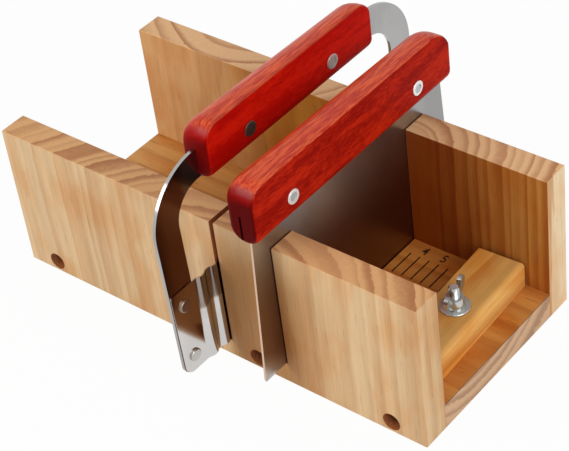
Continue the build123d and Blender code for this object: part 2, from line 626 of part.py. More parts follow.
def wavy_blade():
    """The corrugated blade with flat ends on the front of the legs."""
    half_thickness = WAVY_BLADE_THICKNESS / 2
    reach = BOW_OUTER_HALF_WIDTH
    edges = wave_side(half_thickness, reach) + wave_side(-half_thickness, reach)
    for side in (-1, 1):
        end_y = BOW_CENTRE_Y + side * reach
        back = (BLADE_FLAT_X - half_thickness, end_y, WAVY_KERF_FLOOR)
        front = (BLADE_FLAT_X + half_thickness, end_y, WAVY_KERF_FLOOR)
        edges.append(Line(back, front))
    sheet = extrude(Face(Wire(edges)), WAVY_BLADE_HEIGHT, dir=(0, 0, 1))
    foot = leg_outer(WAVY_KERF_FLOOR) - WAVY_BLADE_INSET
    top = leg_outer(WAVY_BLADE_TOP) - WAVY_BLADE_INSET
    outline = [
        (BOW_CENTRE_Y - foot, WAVY_KERF_FLOOR, BOW_FOOT_OUTER_ROUND),
        (BOW_CENTRE_Y + foot, WAVY_KERF_FLOOR, BOW_FOOT_OUTER_ROUND),
        (BOW_CENTRE_Y + top, WAVY_BLADE_TOP, WAVY_BLADE_TOP_CORNER),
        (BOW_CENTRE_Y - top, WAVY_BLADE_TOP, WAVY_BLADE_TOP_CORNER),
    ]
    reach_x = WAVE_AMPLITUDE + WAVY_BLADE_THICKNESS
    blade = sheet & prism_along_x(outline, (WAVY_KERF_X - reach_x, WAVY_KERF_X + reach_x))
    for hole in leg_rivet_holes():
        blade = blade - hole
    return blade


def wavy_handle():
    """The rear handle."""
    half = WAVY_HANDLE_LENGTH / 2
    y_span = (WAVY_HANDLE_CENTRE_Y - half, WAVY_HANDLE_CENTRE_Y + half)
    z_span = (WAVY_HANDLE_BOTTOM, WAVY_HANDLE_BOTTOM + WAVY_HANDLE_HEIGHT)
    slit = (BOW_THICKNESS + 2 * SLIT_SIDE_CLEARANCE, STRIP_TOP + WAVY_SLIT_HEADROOM)
    places = wavy_rivet_places()
    rounds = (WAVY_HANDLE_TOP_ROUNDS, WAVY_HANDLE_BACK_ROUNDS)
    return handle(BOW_MIDDLE_X, y_span, z_span, *rounds, slit, places)


def leg_rivet(y, z):
    """One rivet that holds the blade to a leg, headed on both sides."""
    head_radius = LEG_RIVET_HEAD_DIAMETER / 2
    front_x = (BLADE_FLAT_FRONT_X, BLADE_FLAT_FRONT_X + LEG_RIVET_HEAD_HEIGHT)
    back_x = (BOW_BACK_X - LEG_RIVET_HEAD_HEIGHT, BOW_BACK_X)
    front = rod_along_x(front_x, head_radius, y, z)
    front = fillet(front.edges().sort_by(Axis.X)[-1], LEG_RIVET_HEAD_ROUND)
    back = rod_along_x(back_x, head_radius, y, z)
    back = fillet(back.edges().sort_by(Axis.X)[0], LEG_RIVET_HEAD_ROUND)
    return front + back + rod_along_x((back_x[1], front_x[0]), LEG_RIVET_SHANK_DIAMETER / 2, y, z)


def leg_rivets(side):
    """The two rivets of one leg."""
    return Compound(children=[leg_rivet(y, z) for y, z in leg_rivet_places(side)])


# Adjustable stop


def stop_block():
    """The pine block, rounded along its outer top edge, a little askew on its bolt."""
    section = [
        (-BLOCK_HALF_WIDTH, BASE_THICKNESS, BLOCK_EDGE_ROUND),
        (BLOCK_HALF_WIDTH, BASE_THICKNESS, BLOCK_EDGE_ROUND),
        (BLOCK_HALF_WIDTH, BLOCK_TOP, BLOCK_TOP_ROUND),
        (-BLOCK_HALF_WIDTH, BLOCK_TOP, BLOCK_EDGE_ROUND),
    ]
    side = [
        (-BLOCK_HALF_LENGTH, BASE_THICKNESS, 0),
        (BLOCK_HALF_LENGTH, BASE_THICKNESS, 0),
        (BLOCK_HALF_LENGTH, BLOCK_TOP, BLOCK_END_ROUND),
        (-BLOCK_HALF_LENGTH, BLOCK_TOP, BLOCK_END_ROUND),
    ]
    block = prism_along_y(section, (-BLOCK_HALF_LENGTH, BLOCK_HALF_LENGTH))
    block = block & prism_along_x(side, (-BLOCK_HALF_WIDTH, BLOCK_HALF_WIDTH))
    hole_radius = BOLT_DIAMETER / 2 + BOLT_HOLE_CLEARANCE
    block = block - rod_along_z((BASE_THICKNESS - OVERRUN, BLOCK_TOP + OVERRUN), hole_radius, 0, 0)
    return Pos(BOLT_X, 0, 0) * Rot(0, 0, BLOCK_SKEW_DEGREES) * block


def stop_bolt():
    """A carriage bolt: domed head below, square neck, ring-grooved thread above."""
    radius = BOLT_DIAMETER / 2
    crest = BOLT_X + radius
    root = crest - THREAD_DEPTH
    thread_start = BOLT_TOP - BOLT_END_CHAMFER - THREAD_GROOVES * THREAD_PITCH
    profile = [(BOLT_X, HEAD_RECESS_DEPTH, 0), (crest, HEAD_RECESS_DEPTH, 0), (crest, thread_start, 0)]
    for index in range(THREAD_GROOVES):
        groove = thread_start + index * THREAD_PITCH
        profile.append((root, groove + THREAD_PITCH / 2, 0))
        profile.append((crest, groove + THREAD_PITCH, 0))
    profile.append((crest - BOLT_END_CHAMFER, BOLT_TOP, 0))
    profile.append((BOLT_X, BOLT_TOP, 0))
    face = rounded_outline(profile, lambda a, b: (a, 0, b))
    shank = revolve(face, Axis((BOLT_X, 0, 0), (0, 0, 1)))
    head_z = (HEAD_RECESS_DEPTH - BOLT_HEAD_HEIGHT, HEAD_RECESS_DEPTH)
    head = rod_along_z(head_z, BOLT_HEAD_DIAMETER / 2, BOLT_X, 0)
    head = fillet(head.edges().sort_by(Axis.Z)[0], BOLT_HEAD_ROUND)
    neck_z = (HEAD_RECESS_DEPTH, HEAD_RECESS_DEPTH + BOLT_NECK_HEIGHT)
    neck = block_between((BOLT_X - radius, BOLT_X + radius), (-radius, radius), neck_z)
    return head + neck + shank


def stop_washer():
    """The flat washer on the block."""
    washer = rod_along_z((BLOCK_TOP, NUT_SEAT), WASHER_DIAMETER / 2, BOLT_X, 0)
    washer = fillet(washer.edges(), WASHER_EDGE_ROUND)
    bore_radius = BOLT_DIAMETER / 2 + WASHER_BORE_CLEARANCE
    return washer - rod_along_z((BLOCK_TOP - OVERRUN, NUT_SEAT + OVERRUN), bore_radius, BOLT_X, 0)


def wing_nut():
    """The wing nut: a tapered hub and two flat wings that spread upwards."""
    hub = Cone(NUT_HUB_BASE_DIAMETER / 2, NUT_HUB_TOP_DIAMETER / 2, NUT_HUB_HEIGHT)
    hub = Pos(0, 0, NUT_HUB_HEIGHT / 2) * hub
    tip = NUT_SPAN / 2
    tip_inside = tip - NUT_WING_TIP_WIDTH
    neck = NUT_HUB_TOP_DIAMETER / 2
    root = NUT_HUB_BASE_DIAMETER / 2
    outline = [
        (-tip, NUT_HEIGHT, NUT_WING_TIP_ROUND),
        (-tip, NUT_WING_SHOULDER_HEIGHT, NUT_WING_TIP_ROUND),
        (-root, NUT_WING_ROOT_HEIGHT, 0),
        (root, NUT_WING_ROOT_HEIGHT, 0),
        (tip, NUT_WING_SHOULDER_HEIGHT, NUT_WING_TIP_ROUND),
        (tip, NUT_HEIGHT, NUT_WING_TIP_ROUND),
        (tip_inside, NUT_HEIGHT, NUT_WING_TIP_ROUND),
        (neck, NUT_WING_NECK_HEIGHT, 0),
        (-neck, NUT_WING_NECK_HEIGHT, 0),
        (-tip_inside, NUT_HEIGHT, NUT_WING_TIP_ROUND),
    ]
    half_thickness = NUT_WING_THICKNESS / 2
    nut = hub + prism_along_y(outline, (-half_thickness, half_thickness))
    bore_radius = BOLT_DIAMETER / 2 + NUT_THREAD_CLEARANCE
    nut = nut - rod_along_z((-OVERRUN, NUT_HEIGHT + OVERRUN), bore_radius, 0, 0)
    return Pos(BOLT_X, 0, NUT_SEAT) * Rot(0, 0, NUT_WING_DIRECTION_DEGREES) * nut


def main():
    """Builds every piece and writes its STEP file."""
    os.makedirs("parts", exist_ok=True)
    write(base_board(), "base_board")
    write(wall(-1), "near_wall")
    write(wall(1), "far_wall")
    write(wall_screws(-1), "near_wall_screws")
    write(wall_screws(1), "far_wall_screws")
    write(straight_blade(), "straight_blade")
    write(straight_handle(), "straight_handle")
    write_handle_rivets("straight", STRAIGHT_KERF_X, straight_rivet_places())
    write(wavy_bow(), "wavy_bow")
    write(wavy_blade(), "wavy_blade")
    write(wavy_handle(), "wavy_handle")
    write_handle_rivets("wavy", BOW_MIDDLE_X, wavy_rivet_places())
    write(leg_rivets(-1), "near_leg_rivets")
    write(leg_rivets(1), "far_leg_rivets")
    write(stop_block(), "stop_block")
    write(stop_bolt(), "stop_bolt")
    write(stop_washer(), "stop_washer")
    write(wing_nut(), "wing_nut")


main()
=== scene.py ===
"""The looks of a soap cutter: pine box, two cutters with red handles, clamped stop, studio and camera."""

import logging
import math
from dataclasses import dataclass
from enum import Enum
from functools import cache, cached_property

import bmesh
import bpy
from mathutils import Color, Matrix, Vector


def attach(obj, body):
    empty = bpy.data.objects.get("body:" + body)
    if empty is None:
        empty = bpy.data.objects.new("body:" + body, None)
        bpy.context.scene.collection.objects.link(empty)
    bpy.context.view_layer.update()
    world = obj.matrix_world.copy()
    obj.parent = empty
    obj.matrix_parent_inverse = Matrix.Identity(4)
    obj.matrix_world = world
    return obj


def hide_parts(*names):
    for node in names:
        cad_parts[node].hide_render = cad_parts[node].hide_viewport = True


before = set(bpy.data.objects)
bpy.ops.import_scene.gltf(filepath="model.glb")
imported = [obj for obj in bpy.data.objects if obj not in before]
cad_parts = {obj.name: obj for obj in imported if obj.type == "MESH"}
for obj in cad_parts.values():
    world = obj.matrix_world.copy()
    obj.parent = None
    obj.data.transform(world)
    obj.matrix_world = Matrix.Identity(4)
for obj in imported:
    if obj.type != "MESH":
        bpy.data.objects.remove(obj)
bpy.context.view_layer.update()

log = logging.getLogger("soap_cutter")

MM = 0.001
PHOTO_WIDTH = 569
WHITE_LEVEL = 255
SMOOTH_ANGLE = 30.0
NOISE_MIDDLE = 0.5
WOOD_RELIEF = 0.5

Span = tuple[float, float]
Triple = tuple[float, float, float]
Colour = tuple[float, float, float, float]
Socket = bpy.types.NodeSocket


def paint(red: int, green: int, blue: int) -> Colour:
    """The linear colour that a shader takes, of a colour given from 0 to 255."""
    linear = Color((red / WHITE_LEVEL, green / WHITE_LEVEL, blue / WHITE_LEVEL)).from_srgb_to_scene_linear()
    return (*linear, 1.0)


# Shader trees


class Noise(Enum):
    """The noises: cells in a millimetre along X, Y and Z, octaves of detail, and distortion."""

    RING_WANDER = (0.03, 0.03, 0.009, 2.0, 0.0)
    RING_JITTER = (0.4, 0.4, 0.02, 2.0, 0.0)
    PINE_FIBRE = (1.5, 1.5, 0.045, 3.0, 0.0)
    PINE_DUCTS = (1.9, 1.9, 0.11, 1.0, 0.0)
    PINE_STREAKS = (0.22, 0.22, 0.007, 2.0, 0.0)
    PINE_MOTTLE = (0.06, 0.06, 0.03, 2.0, 0.0)
    RED_STREAKS = (0.9, 0.09, 0.9, 4.0, 0.3)
    RED_PORES = (2.6, 0.45, 2.6, 2.0, 0.0)
    RED_BLOTCH = (0.16, 0.025, 0.16, 3.0, 0.4)
    RED_SPECKLE = (1.3, 0.25, 1.3, 4.0, 0.4)
    BRUSH_LINES = (5.0, 5.0, 0.12, 3.0, 0.0)
    SCRATCHES = (3.0, 3.0, 0.05, 1.0, 0.0)
    SMUDGE = (0.05, 0.05, 0.04, 3.0, 0.0)
    CHAR = (2.5, 2.5, 2.5, 3.0, 0.0)


class Bench:
    """Lays out the nodes of one tree, of a material or of a group."""

    def __init__(self, tree: bpy.types.NodeTree) -> None:
        """Starts on a node tree, and empties it."""
        self.tree = tree
        tree.nodes.clear()

    @cached_property
    def place(self) -> Socket:
        """The place on the piece, in millimetres."""
        metres = self.add("TexCoord").outputs["Object"]
        return self.add("VectorMath", {0: metres, "Scale": 1 / MM}, operation="SCALE").outputs[0]

    @cached_property
    def normal(self) -> Socket:
        """The direction that the surface faces."""
        return self.add("TexCoord").outputs["Normal"]

    def add(self, kind: str, inputs: dict | None = None, **settings: object) -> bpy.types.Node:
        """Adds one node, and sets or links its inputs.

        Args:
            kind: The node's type, without the ShaderNode in front.
            inputs: Input name or number to a plain value or an output socket.
            **settings: Properties of the node.

        Returns:
            The new node.
        """
        node = self.tree.nodes.new("ShaderNode" + kind)
        for name, value in settings.items():
            setattr(node, name, value)
        for key, value in (inputs or {}).items():
            if isinstance(value, Socket):
                self.tree.links.new(value, node.inputs[key])
            else:
                node.inputs[key].default_value = value
        return node

    def sum(self, operation: str, first: object, *others: object) -> Socket:
        """Runs values through one Math operation, from left to right.

        Args:
            operation: The operation's name.
            first: The first value or socket.
            *others: The further ones, where the operation takes more than one.

        Returns:
            The result's socket.
        """
        result = first
        for other in others or (0.0,):
            result = self.add("Math", {0: result, 1: other}, operation=operation).outputs[0]
        return result

    def times(self, *factors: object) -> Socket:
        """The product of values or sockets."""
        return self.sum("MULTIPLY", *factors)

    def weigh(self, weights: tuple[float, ...], *values: Socket) -> Socket:
        """The total of values, each times its weight."""
        return self.sum("ADD", *(self.times(value, weight) for value, weight in zip(values, weights)))

    def away(self, value: Socket, middle: float) -> Socket:
        """How far a value is from a middle."""
        return self.sum("ABSOLUTE", self.sum("SUBTRACT", value, middle))

    def distance(self, first: Socket, second: Socket) -> Socket:
        """The length of a line that goes this far along two directions."""
        squares = [self.sum("POWER", self.sum("ABSOLUTE", offset), 2.0) for offset in (first, second)]
        return self.sum("SQRT", self.sum("ADD", *squares))

    def between(self, value: Socket, low: float, high: float) -> Socket:
        """1 where a value is between two others, and 0 elsewhere."""
        return self.times(self.sum("GREATER_THAN", value, low), self.sum("LESS_THAN", value, high))

    def ramp(self, value: Socket, span: Span, levels: Span, how: str = "LINEAR") -> Socket:
        """Adds a ramp from one level to another, flat beyond both its ends.

        Args:
            value: The value to judge.
            span: Where the ramp begins and ends.
            levels: The levels at its two ends.
            how: The way it goes from one to the other.

        Returns:
            The ramp's socket.
        """
        inputs = {
            "Value": value, "From Min": span[0], "From Max": span[1],
            "To Min": levels[0], "To Max": levels[1],
        }
        return self.add("MapRange", inputs, interpolation_type=how).outputs[0]

    def step(self, value: Socket, low: float, high: float) -> Socket:
        """A soft step from 0 at low to 1 at high, which falls where high is below low."""
        levels = (0.0, 1.0) if low < high else (1.0, 0.0)
        return self.ramp(value, (min(low, high), max(low, high)), levels, "SMOOTHSTEP")

    def mix(self, share: Socket, first: Socket, second: Socket) -> Socket:
        """A value between two others."""
        return self.add("Mix", {0: share, 2: first, 3: second}, data_type="FLOAT").outputs[0]

    def blend(self, share: object, first: object, second: object, how: str = "MIX") -> Socket:
        """A colour blended from two, of which the second shows by its share."""
        node = self.add("Mix", {0: share, 6: first, 7: second}, data_type="RGBA", blend_type=how)
        return node.outputs[2]

    def shade(self, colour: Socket, value: Socket, span: Span, levels: Span) -> Socket:
        """A colour darkened and lightened by a noise, whose span stands for these levels."""
        level = self.ramp(value, span, levels)
        return self.add("VectorMath", {0: colour, "Scale": level}, operation="SCALE").outputs[0]

    def noise(self, place: Socket, kind: Noise) -> Socket:
        """Adds a noise.

        Args:
            place: The place in millimetres.
            kind: Which noise.

        Returns:
            The noise's value, around 0.5.
        """
        *cells, detail, warp = kind.value
        scaled = self.add("VectorMath", {0: place, 1: cells}, operation="MULTIPLY").outputs[0]
        inputs = {"Vector": scaled, "Scale": 1.0, "Detail": detail, "Distortion": warp}
        return self.add("TexNoise", inputs).outputs[0]

    def use(self, group: bpy.types.NodeTree, inputs: dict) -> bpy.types.NodeOutputs:
        """Places a shared effect, and gives back what it puts out."""
        return self.add("Group", inputs, node_tree=group).outputs

    def turn(self, vector: Socket, angles: Triple) -> Socket:
        """A vector turned about the three axes."""
        return self.add("Mapping", {"Vector": vector, "Rotation": angles}).outputs[0]

    def split(self, vector: Socket) -> list[Socket]:
        """The X, Y and Z of a vector."""
        return list(self.add("SeparateXYZ", {0: vector}).outputs)

    def bump(self, height: Socket, distance: float, **more: object) -> Socket:
        """The surface's normal bent by a height, where height 1 stands this many metres above 0."""
        return self.add("Bump", {"Height": height, "Distance": distance, **more}).outputs[0]


def new_group(name: str, inputs: dict[str, float | None]) -> tuple[Bench, bpy.types.NodeOutputs]:
    """Starts a shader group.

    Args:
        name: The group's name.
        inputs: Each input's name to its default, or to None for a vector.

    Returns:
        The bench that the group is laid out on, and what it is given.
    """
    group = bpy.data.node_groups.new(name, "ShaderNodeTree")
    for label, default in inputs.items():
        kind = "NodeSocketVector" if default is None else "NodeSocketFloat"
        socket = group.interface.new_socket(name=label, in_out="INPUT", socket_type=kind)
        if default is not None:
            socket.default_value = default
    return Bench(group), group.nodes.new("NodeGroupInput").outputs


def close_group(bench: Bench, results: dict[str, Socket]) -> bpy.types.NodeTree:
    """Gives a group its outputs.

    Args:
        bench: The group's bench.
        results: Each output's name to the socket that feeds it.

    Returns:
        The group.
    """
    for label in results:
        bench.tree.interface.new_socket(name=label, in_out="OUTPUT", socket_type="NodeSocketFloat")
    end = bench.tree.nodes.new("NodeGroupOutput")
    for label, socket in results.items():
        bench.tree.links.new(socket, end.inputs[label])
    return bench.tree


# How pine's rings vary, and where a noise turns into ducts, pores or scratches
SLOW_CELLS = 0.07
JITTER_SHARE = 0.3
LATE_WOOD_RISE = (0.22, 0.86)
LATE_WOOD_END = (1.0, 0.9)
RING_STRENGTHS = (0.25, 1.0)
DUCT_EDGE = (0.68, 0.78)
PORE_EDGE = (0.6, 0.74)
SCRATCH_EDGE = (0.74, 0.8)
SCRATCH_TILT = math.radians(7)


@cache
def pine_grain_group() -> bpy.types.NodeTree:
    """Pine's growth rings round a heart given across the grain, with the grain along the vector's Z.

    Returns:
        The group, with rings, fibre, ducts, streaks and mottle. Places and sizes are in millimetres.
    """
    inputs = {
        "Place": None, "Heart Across": 0.0, "Heart Through": 60.0,
        "Spacing": 5.0, "Wander": 6.0, "Uneven": 2.5,
    }
    bench, given = new_group("pine grain", inputs)
    place = given["Place"]
    across, through, _ = bench.split(place)
    wander = bench.sum("SUBTRACT", bench.noise(place, Noise.RING_WANDER), NOISE_MIDDLE)
    from_heart = bench.sum("SUBTRACT", across, given["Heart Across"])
    from_side = bench.sum("SUBTRACT", through, given["Heart Through"])
    radius = bench.sum("ADD", bench.distance(from_heart, from_side), bench.times(wander, given["Wander"]))
    slow_inputs = {"W": bench.times(radius, SLOW_CELLS), "Scale": 1.0, "Detail": 1.0}
    slow = bench.add("TexNoise", slow_inputs, noise_dimensions="1D").outputs[0]
    phase = bench.sum("DIVIDE", radius, given["Spacing"])
    phase = bench.sum("ADD", phase, bench.times(slow, given["Uneven"]))
    phase = bench.sum("ADD", phase, bench.times(bench.noise(place, Noise.RING_JITTER), JITTER_SHARE))
    ring = bench.sum("FRACT", phase)
    late = bench.times(bench.step(ring, *LATE_WOOD_RISE), bench.step(ring, *LATE_WOOD_END))
    number = bench.add("TexWhiteNoise", {"W": bench.sum("FLOOR", phase)}, noise_dimensions="1D").outputs[0]
    results = {
        "Rings": bench.times(late, bench.ramp(number, (0.0, 1.0), RING_STRENGTHS)),
        "Fibre": bench.noise(place, Noise.PINE_FIBRE),
        "Ducts": bench.step(bench.noise(place, Noise.PINE_DUCTS), *DUCT_EDGE),
        "Streaks": bench.noise(place, Noise.PINE_STREAKS),
        "Mottle": bench.noise(place, Noise.PINE_MOTTLE),
    }
    return close_group(bench, results)


@cache
def red_grain_group() -> bpy.types.NodeTree:
    """The streaks, pores and blotches of stained hardwood, with the grain along Y, in millimetres.

    Returns:
        The group, with streaks, pores, blotches and fine speckle.
    """
    bench, given = new_group("red grain", {"Place": None})
    place = given["Place"]
    results = {
        "Streaks": bench.noise(place, Noise.RED_STREAKS),
        "Pores": bench.step(bench.noise(place, Noise.RED_PORES), *PORE_EDGE),
        "Blotch": bench.noise(place, Noise.RED_BLOTCH),
        "Speckle": bench.noise(place, Noise.RED_SPECKLE),
    }
    return close_group(bench, results)


@cache
def sheet_marks_group() -> bpy.types.NodeTree:
    """Brush lines, straight scratches and smudges of sheet metal, with the lines along Z, in millimetres.

    Returns:
        The group, with lines, scratches and smudges.
    """
    bench, given = new_group("sheet marks", {"Place": None})
    place = given["Place"]
    tilted = bench.turn(place, (SCRATCH_TILT, 0.0, 0.0))
    results = {
        "Lines": bench.noise(place, Noise.BRUSH_LINES),
        "Scratches": bench.step(bench.noise(tilted, Noise.SCRATCHES), *SCRATCH_EDGE),
        "Smudge": bench.noise(place, Noise.SMUDGE),
    }
    return close_group(bench, results)


def new_material(name: str) -> tuple[bpy.types.Material, Bench]:
    """Starts a material with an empty tree.

    Args:
        name: The material's name.

    Returns:
        The material and its bench.
    """
    material = bpy.data.materials.new(name)
    material.use_nodes = True
    return material, Bench(material.node_tree)


# Finishes


class Finish:
    """The look of one kind of surface."""

    name: str

    @cache
    def material(self) -> bpy.types.Material:
        """Makes the material the first time it is asked for.

        Returns:
            The material.
        """
        material, bench = new_material(self.name)
        shader = bench.add("BsdfPrincipled", self.surface(bench))
        bench.add("OutputMaterial", {0: shader.outputs[0]})
        return material

    def surface(self, bench: Bench) -> dict:
        """The inputs of the Principled shader, by name, laid out on the material's bench."""
        raise NotImplementedError


class Grain(Enum):
    """Which way a pine piece's grain runs, as the turn that lays it along Z."""

    UPRIGHT = (0.0, 0.0, 0.0)
    ALONG_BOX = (0.0, math.radians(-90), math.radians(-90))
    ACROSS_BOX = (math.radians(90), 0.0, 0.0)


@dataclass(frozen=True)
class BurntPlaces:
    """Where saw and drill have browned the pine, in millimetres."""

    kerf_places: Span = (10.0, 40.9)
    kerf_half_widths: Span = (1.1, 0.9)
    kerf_floors: Span = (8.7, 10.5)
    screw_end: float = 95.0
    screw_middle: float = 25.0
    screw_height: float = 5.2
    screw_radius: float = 4.2
    kerf_margins: Span = (0.22, 0.04)
    floor_margins: Span = (0.3, 0.05)
    bore_margins: Span = (0.25, 0.03)
    strength: float = 0.8

    def mask(self, bench: Bench) -> Socket:
        """The mask of the browned wood.

        Args:
            bench: The material's bench.

        Returns:
            The mask, highest where the wood is burnt.
        """
        x, _, z = bench.split(bench.place)
        burnt = []
        for middle, half, floor in zip(self.kerf_places, self.kerf_half_widths, self.kerf_floors):
            beside = bench.step(bench.away(x, middle), *(half + margin for margin in self.kerf_margins))
            above = bench.step(z, *(floor - margin for margin in self.floor_margins))
            burnt.append(bench.times(beside, above))
        height = bench.sum("SUBTRACT", z, self.screw_height)
        from_ends = bench.sum("SUBTRACT", bench.sum("ABSOLUTE", x), self.screw_end)
        from_middle = bench.sum("SUBTRACT", x, self.screw_middle)
        for offset in (from_ends, from_middle):
            edge = (self.screw_radius + margin for margin in self.bore_margins)
            burnt.append(bench.step(bench.distance(offset, height), *edge))
        return bench.times(bench.sum("MAXIMUM", *burnt), self.strength)


@dataclass(frozen=True)
class RulerMarks:
    """The ruler's marks burnt into the base, in millimetres."""

    top: float = 12.8
    zero: float = 11.1
    pitch: float = 5.0
    half_width: float = 0.3
    scorch: float = 0.16
    row: Span = (12.1, 97.1)
    reach: Span = (15.7, 30.1)
    groove_start: Span = (0.02, 0.06)
    groove_end: Span = (0.5, 0.4)
    top_play: float = 0.01
    groove_strength: float = 0.97
    scorch_strength: float = 0.8

    def mask(self, bench: Bench) -> Socket:
        """The mask of the marks' grooves and of the little scorch on the wood beside them.

        Args:
            bench: The material's bench.

        Returns:
            The mask, highest where the wood is burnt.
        """
        x, y, z = bench.split(bench.place)
        depth = bench.sum("SUBTRACT", self.top, z)
        groove = bench.times(bench.step(depth, *self.groove_start), bench.step(depth, *self.groove_end))
        pitches = bench.sum("DIVIDE", bench.sum("SUBTRACT", x, self.zero), self.pitch)
        share = bench.sum("FRACT", bench.sum("ADD", pitches, 0.5))
        aside = bench.times(bench.away(share, 0.5), self.pitch)
        beside = bench.step(aside, self.half_width + self.scorch, self.half_width)
        in_row = bench.times(bench.between(x, *self.row), bench.between(y, *self.reach))
        on_top = bench.sum("LESS_THAN", depth, self.top_play)
        halo = bench.times(beside, in_row, on_top, self.scorch_strength)
        return bench.sum("MAXIMUM", bench.times(groove, self.groove_strength), halo)


@dataclass(frozen=True)
class PaintedShade:
    """Painted shade on a stretch of one side of a board, about under and beside the cutters, in millimetres.
    """

    along: tuple[float, float, float, float]
    side: Span = (-51.9, -52.2)
    height: Span = (84.0, 48.0)
    colour: Colour = paint(208, 180, 146)

    def lay(self, bench: Bench, wood: Socket) -> Socket:
        """Paints the shade on the wood.

        Args:
            bench: The material's bench.
            wood: The wood's colour.

        Returns:
            The shaded colour.
        """
        clear_left, full_left, full_right, clear_right = self.along
        x, y, z = bench.split(bench.place)
        along = bench.times(bench.step(x, clear_left, full_left), bench.step(x, clear_right, full_right))
        share = bench.times(along, bench.step(y, *self.side), bench.step(z, *self.height))
        return bench.blend(share, wood, self.colour, "MULTIPLY")


@dataclass(frozen=True)
class Board:
    """One board of a pine piece: where its heart lies across the grain, and where the board starts."""

    heart_across: float
    heart_through: float
    spacing: float
    wander: float = 6.0
    starts_at: float = -1000.0
    side_bands: float = 1.0


@dataclass(frozen=True)
class PineFinish(Finish):
    """Planed and oiled pine."""

    name: str
    grain: Grain
    boards: tuple[Board, ...]
    pale: Colour
    band: Colour
    end_pale: Colour
    end_band: Colour
    # Painted shade on the channel's side of the wood: a lighter tint left of the straight cutter, and right
    # of it one that grades from beside the cutter to the right end.
    inside: Colour
    channel_left_shade: Colour
    deep: Colour
    warm: Colour
    duct: Colour = paint(120, 78, 40)
    burn: Colour = paint(158, 80, 32)
    burn_light: Colour = paint(206, 124, 62)
    duct_share: float = 0.35
    streak_levels: Span = (0.92, 1.06)
    fibre_levels: Span = (0.9, 1.07)
    roughness: Span = (0.62, 0.48)
    fibre_span: Span = (0.2, 0.8)
    streak_span: Span = (0.3, 0.7)
    warm_edge: Span = (0.42, 0.72)
    end_grain_edge: Span = (0.55, 0.9)
    channel_edge: Span = (39.05, 38.85)
    deep_shade_edge: Span = (104.0, 46.0)
    cutter_edge: Span = (40.4, 41.4)
    gloss: float = 0.22
    relief_height: float = 0.00005
    relief_weights: Triple = (0.6, -0.6, 0.5)
    ruler: RulerMarks | None = None
    painted_shade: PaintedShade | None = None

    def surface(self, bench: Bench) -> dict:
        """The shader's inputs.

        Args:
            bench: The material's bench.

        Returns:
            The inputs by name.
        """
        grain, rings, side_rings = self.grow(bench)
        along_grain = bench.split(bench.turn(bench.normal, self.grain.value))[2]
        end_grain = bench.step(bench.sum("ABSOLUTE", along_grain), *self.end_grain_edge)
        side_wood = bench.blend(side_rings, self.pale, self.band)
        end_wood = bench.blend(rings, self.end_pale, self.end_band)
        mottle = bench.step(grain["Mottle"], *self.warm_edge)
        side_wood = bench.blend(mottle, side_wood, self.warm, "MULTIPLY")
        side_wood = bench.shade(side_wood, grain["Streaks"], self.streak_span, self.streak_levels)
        side_wood = bench.blend(bench.times(grain["Ducts"], self.duct_share), side_wood, self.duct)
        # Painted shade on the channel's side.
        side_wood = self.paint_channel_shade(bench, side_wood)
        # Painted shade about under and beside the cutters.
        if self.painted_shade:
            side_wood = self.painted_shade.lay(bench, side_wood)
        wood = bench.blend(end_grain, side_wood, end_wood)
        wood = bench.shade(wood, grain["Fibre"], self.fibre_span, self.fibre_levels)
        if self.ruler:
            wood = bench.blend(self.ruler.mask(bench), wood, self.burn)
        scorch = bench.blend(bench.step(grain["Fibre"], *self.streak_span), self.burn, self.burn_light)
        wood = bench.blend(BurntPlaces().mask(bench), wood, scorch)
        relief = bench.weigh(self.relief_weights, grain["Fibre"], grain["Ducts"], rings)
        return {
            "Base Color": wood,
            "Roughness": bench.ramp(grain["Fibre"], self.fibre_span, self.roughness),
            "Specular IOR Level": self.gloss,
            "Normal": bench.bump(relief, self.relief_height, Strength=WOOD_RELIEF),
        }

    def grow(self, bench: Bench) -> tuple[bpy.types.NodeOutputs, Socket, Socket]:
        """Lays the boards' grain side by side.

        Args:
            bench: The material's bench.

        Returns:
            The last board's grain, the rings for end grain, and the fainter rings for the boards' sides.
        """
        turned = bench.turn(bench.place, self.grain.value)
        across = bench.split(turned)[0]
        rings = side_rings = None
        for board in self.boards:
            inputs = {
                "Place": turned, "Heart Across": board.heart_across, "Heart Through": board.heart_through,
                "Spacing": board.spacing, "Wander": board.wander,
            }
            grain = bench.use(pine_grain_group(), inputs)
            faint = bench.times(grain["Rings"], board.side_bands)
            if rings is None:
                rings, side_rings = grain["Rings"], faint
            else:
                here = bench.sum("GREATER_THAN", across, board.starts_at)
                rings = bench.mix(here, rings, grain["Rings"])
                side_rings = bench.mix(here, side_rings, faint)
        return grain, rings, side_rings

    def paint_channel_shade(self, bench: Bench, wood: Socket) -> Socket:
        """Paints shade on the channel's side of the wood: a lighter tint left of the straight cutter, and
        right of it a tint that grades from beside the cutter to the right end.

        Args:
            bench: The material's bench.
            wood: The wood's colour.

        Returns:
            The tinted colour.
        """
        x, y, _ = bench.split(bench.place)
        channel = bench.step(bench.sum("ABSOLUTE", y), *self.channel_edge)
        right = bench.blend(bench.step(x, *self.deep_shade_edge), self.inside, self.deep)
        tint = bench.blend(bench.step(x, *self.cutter_edge), self.channel_left_shade, right)
        return bench.blend(channel, wood, tint, "MULTIPLY")


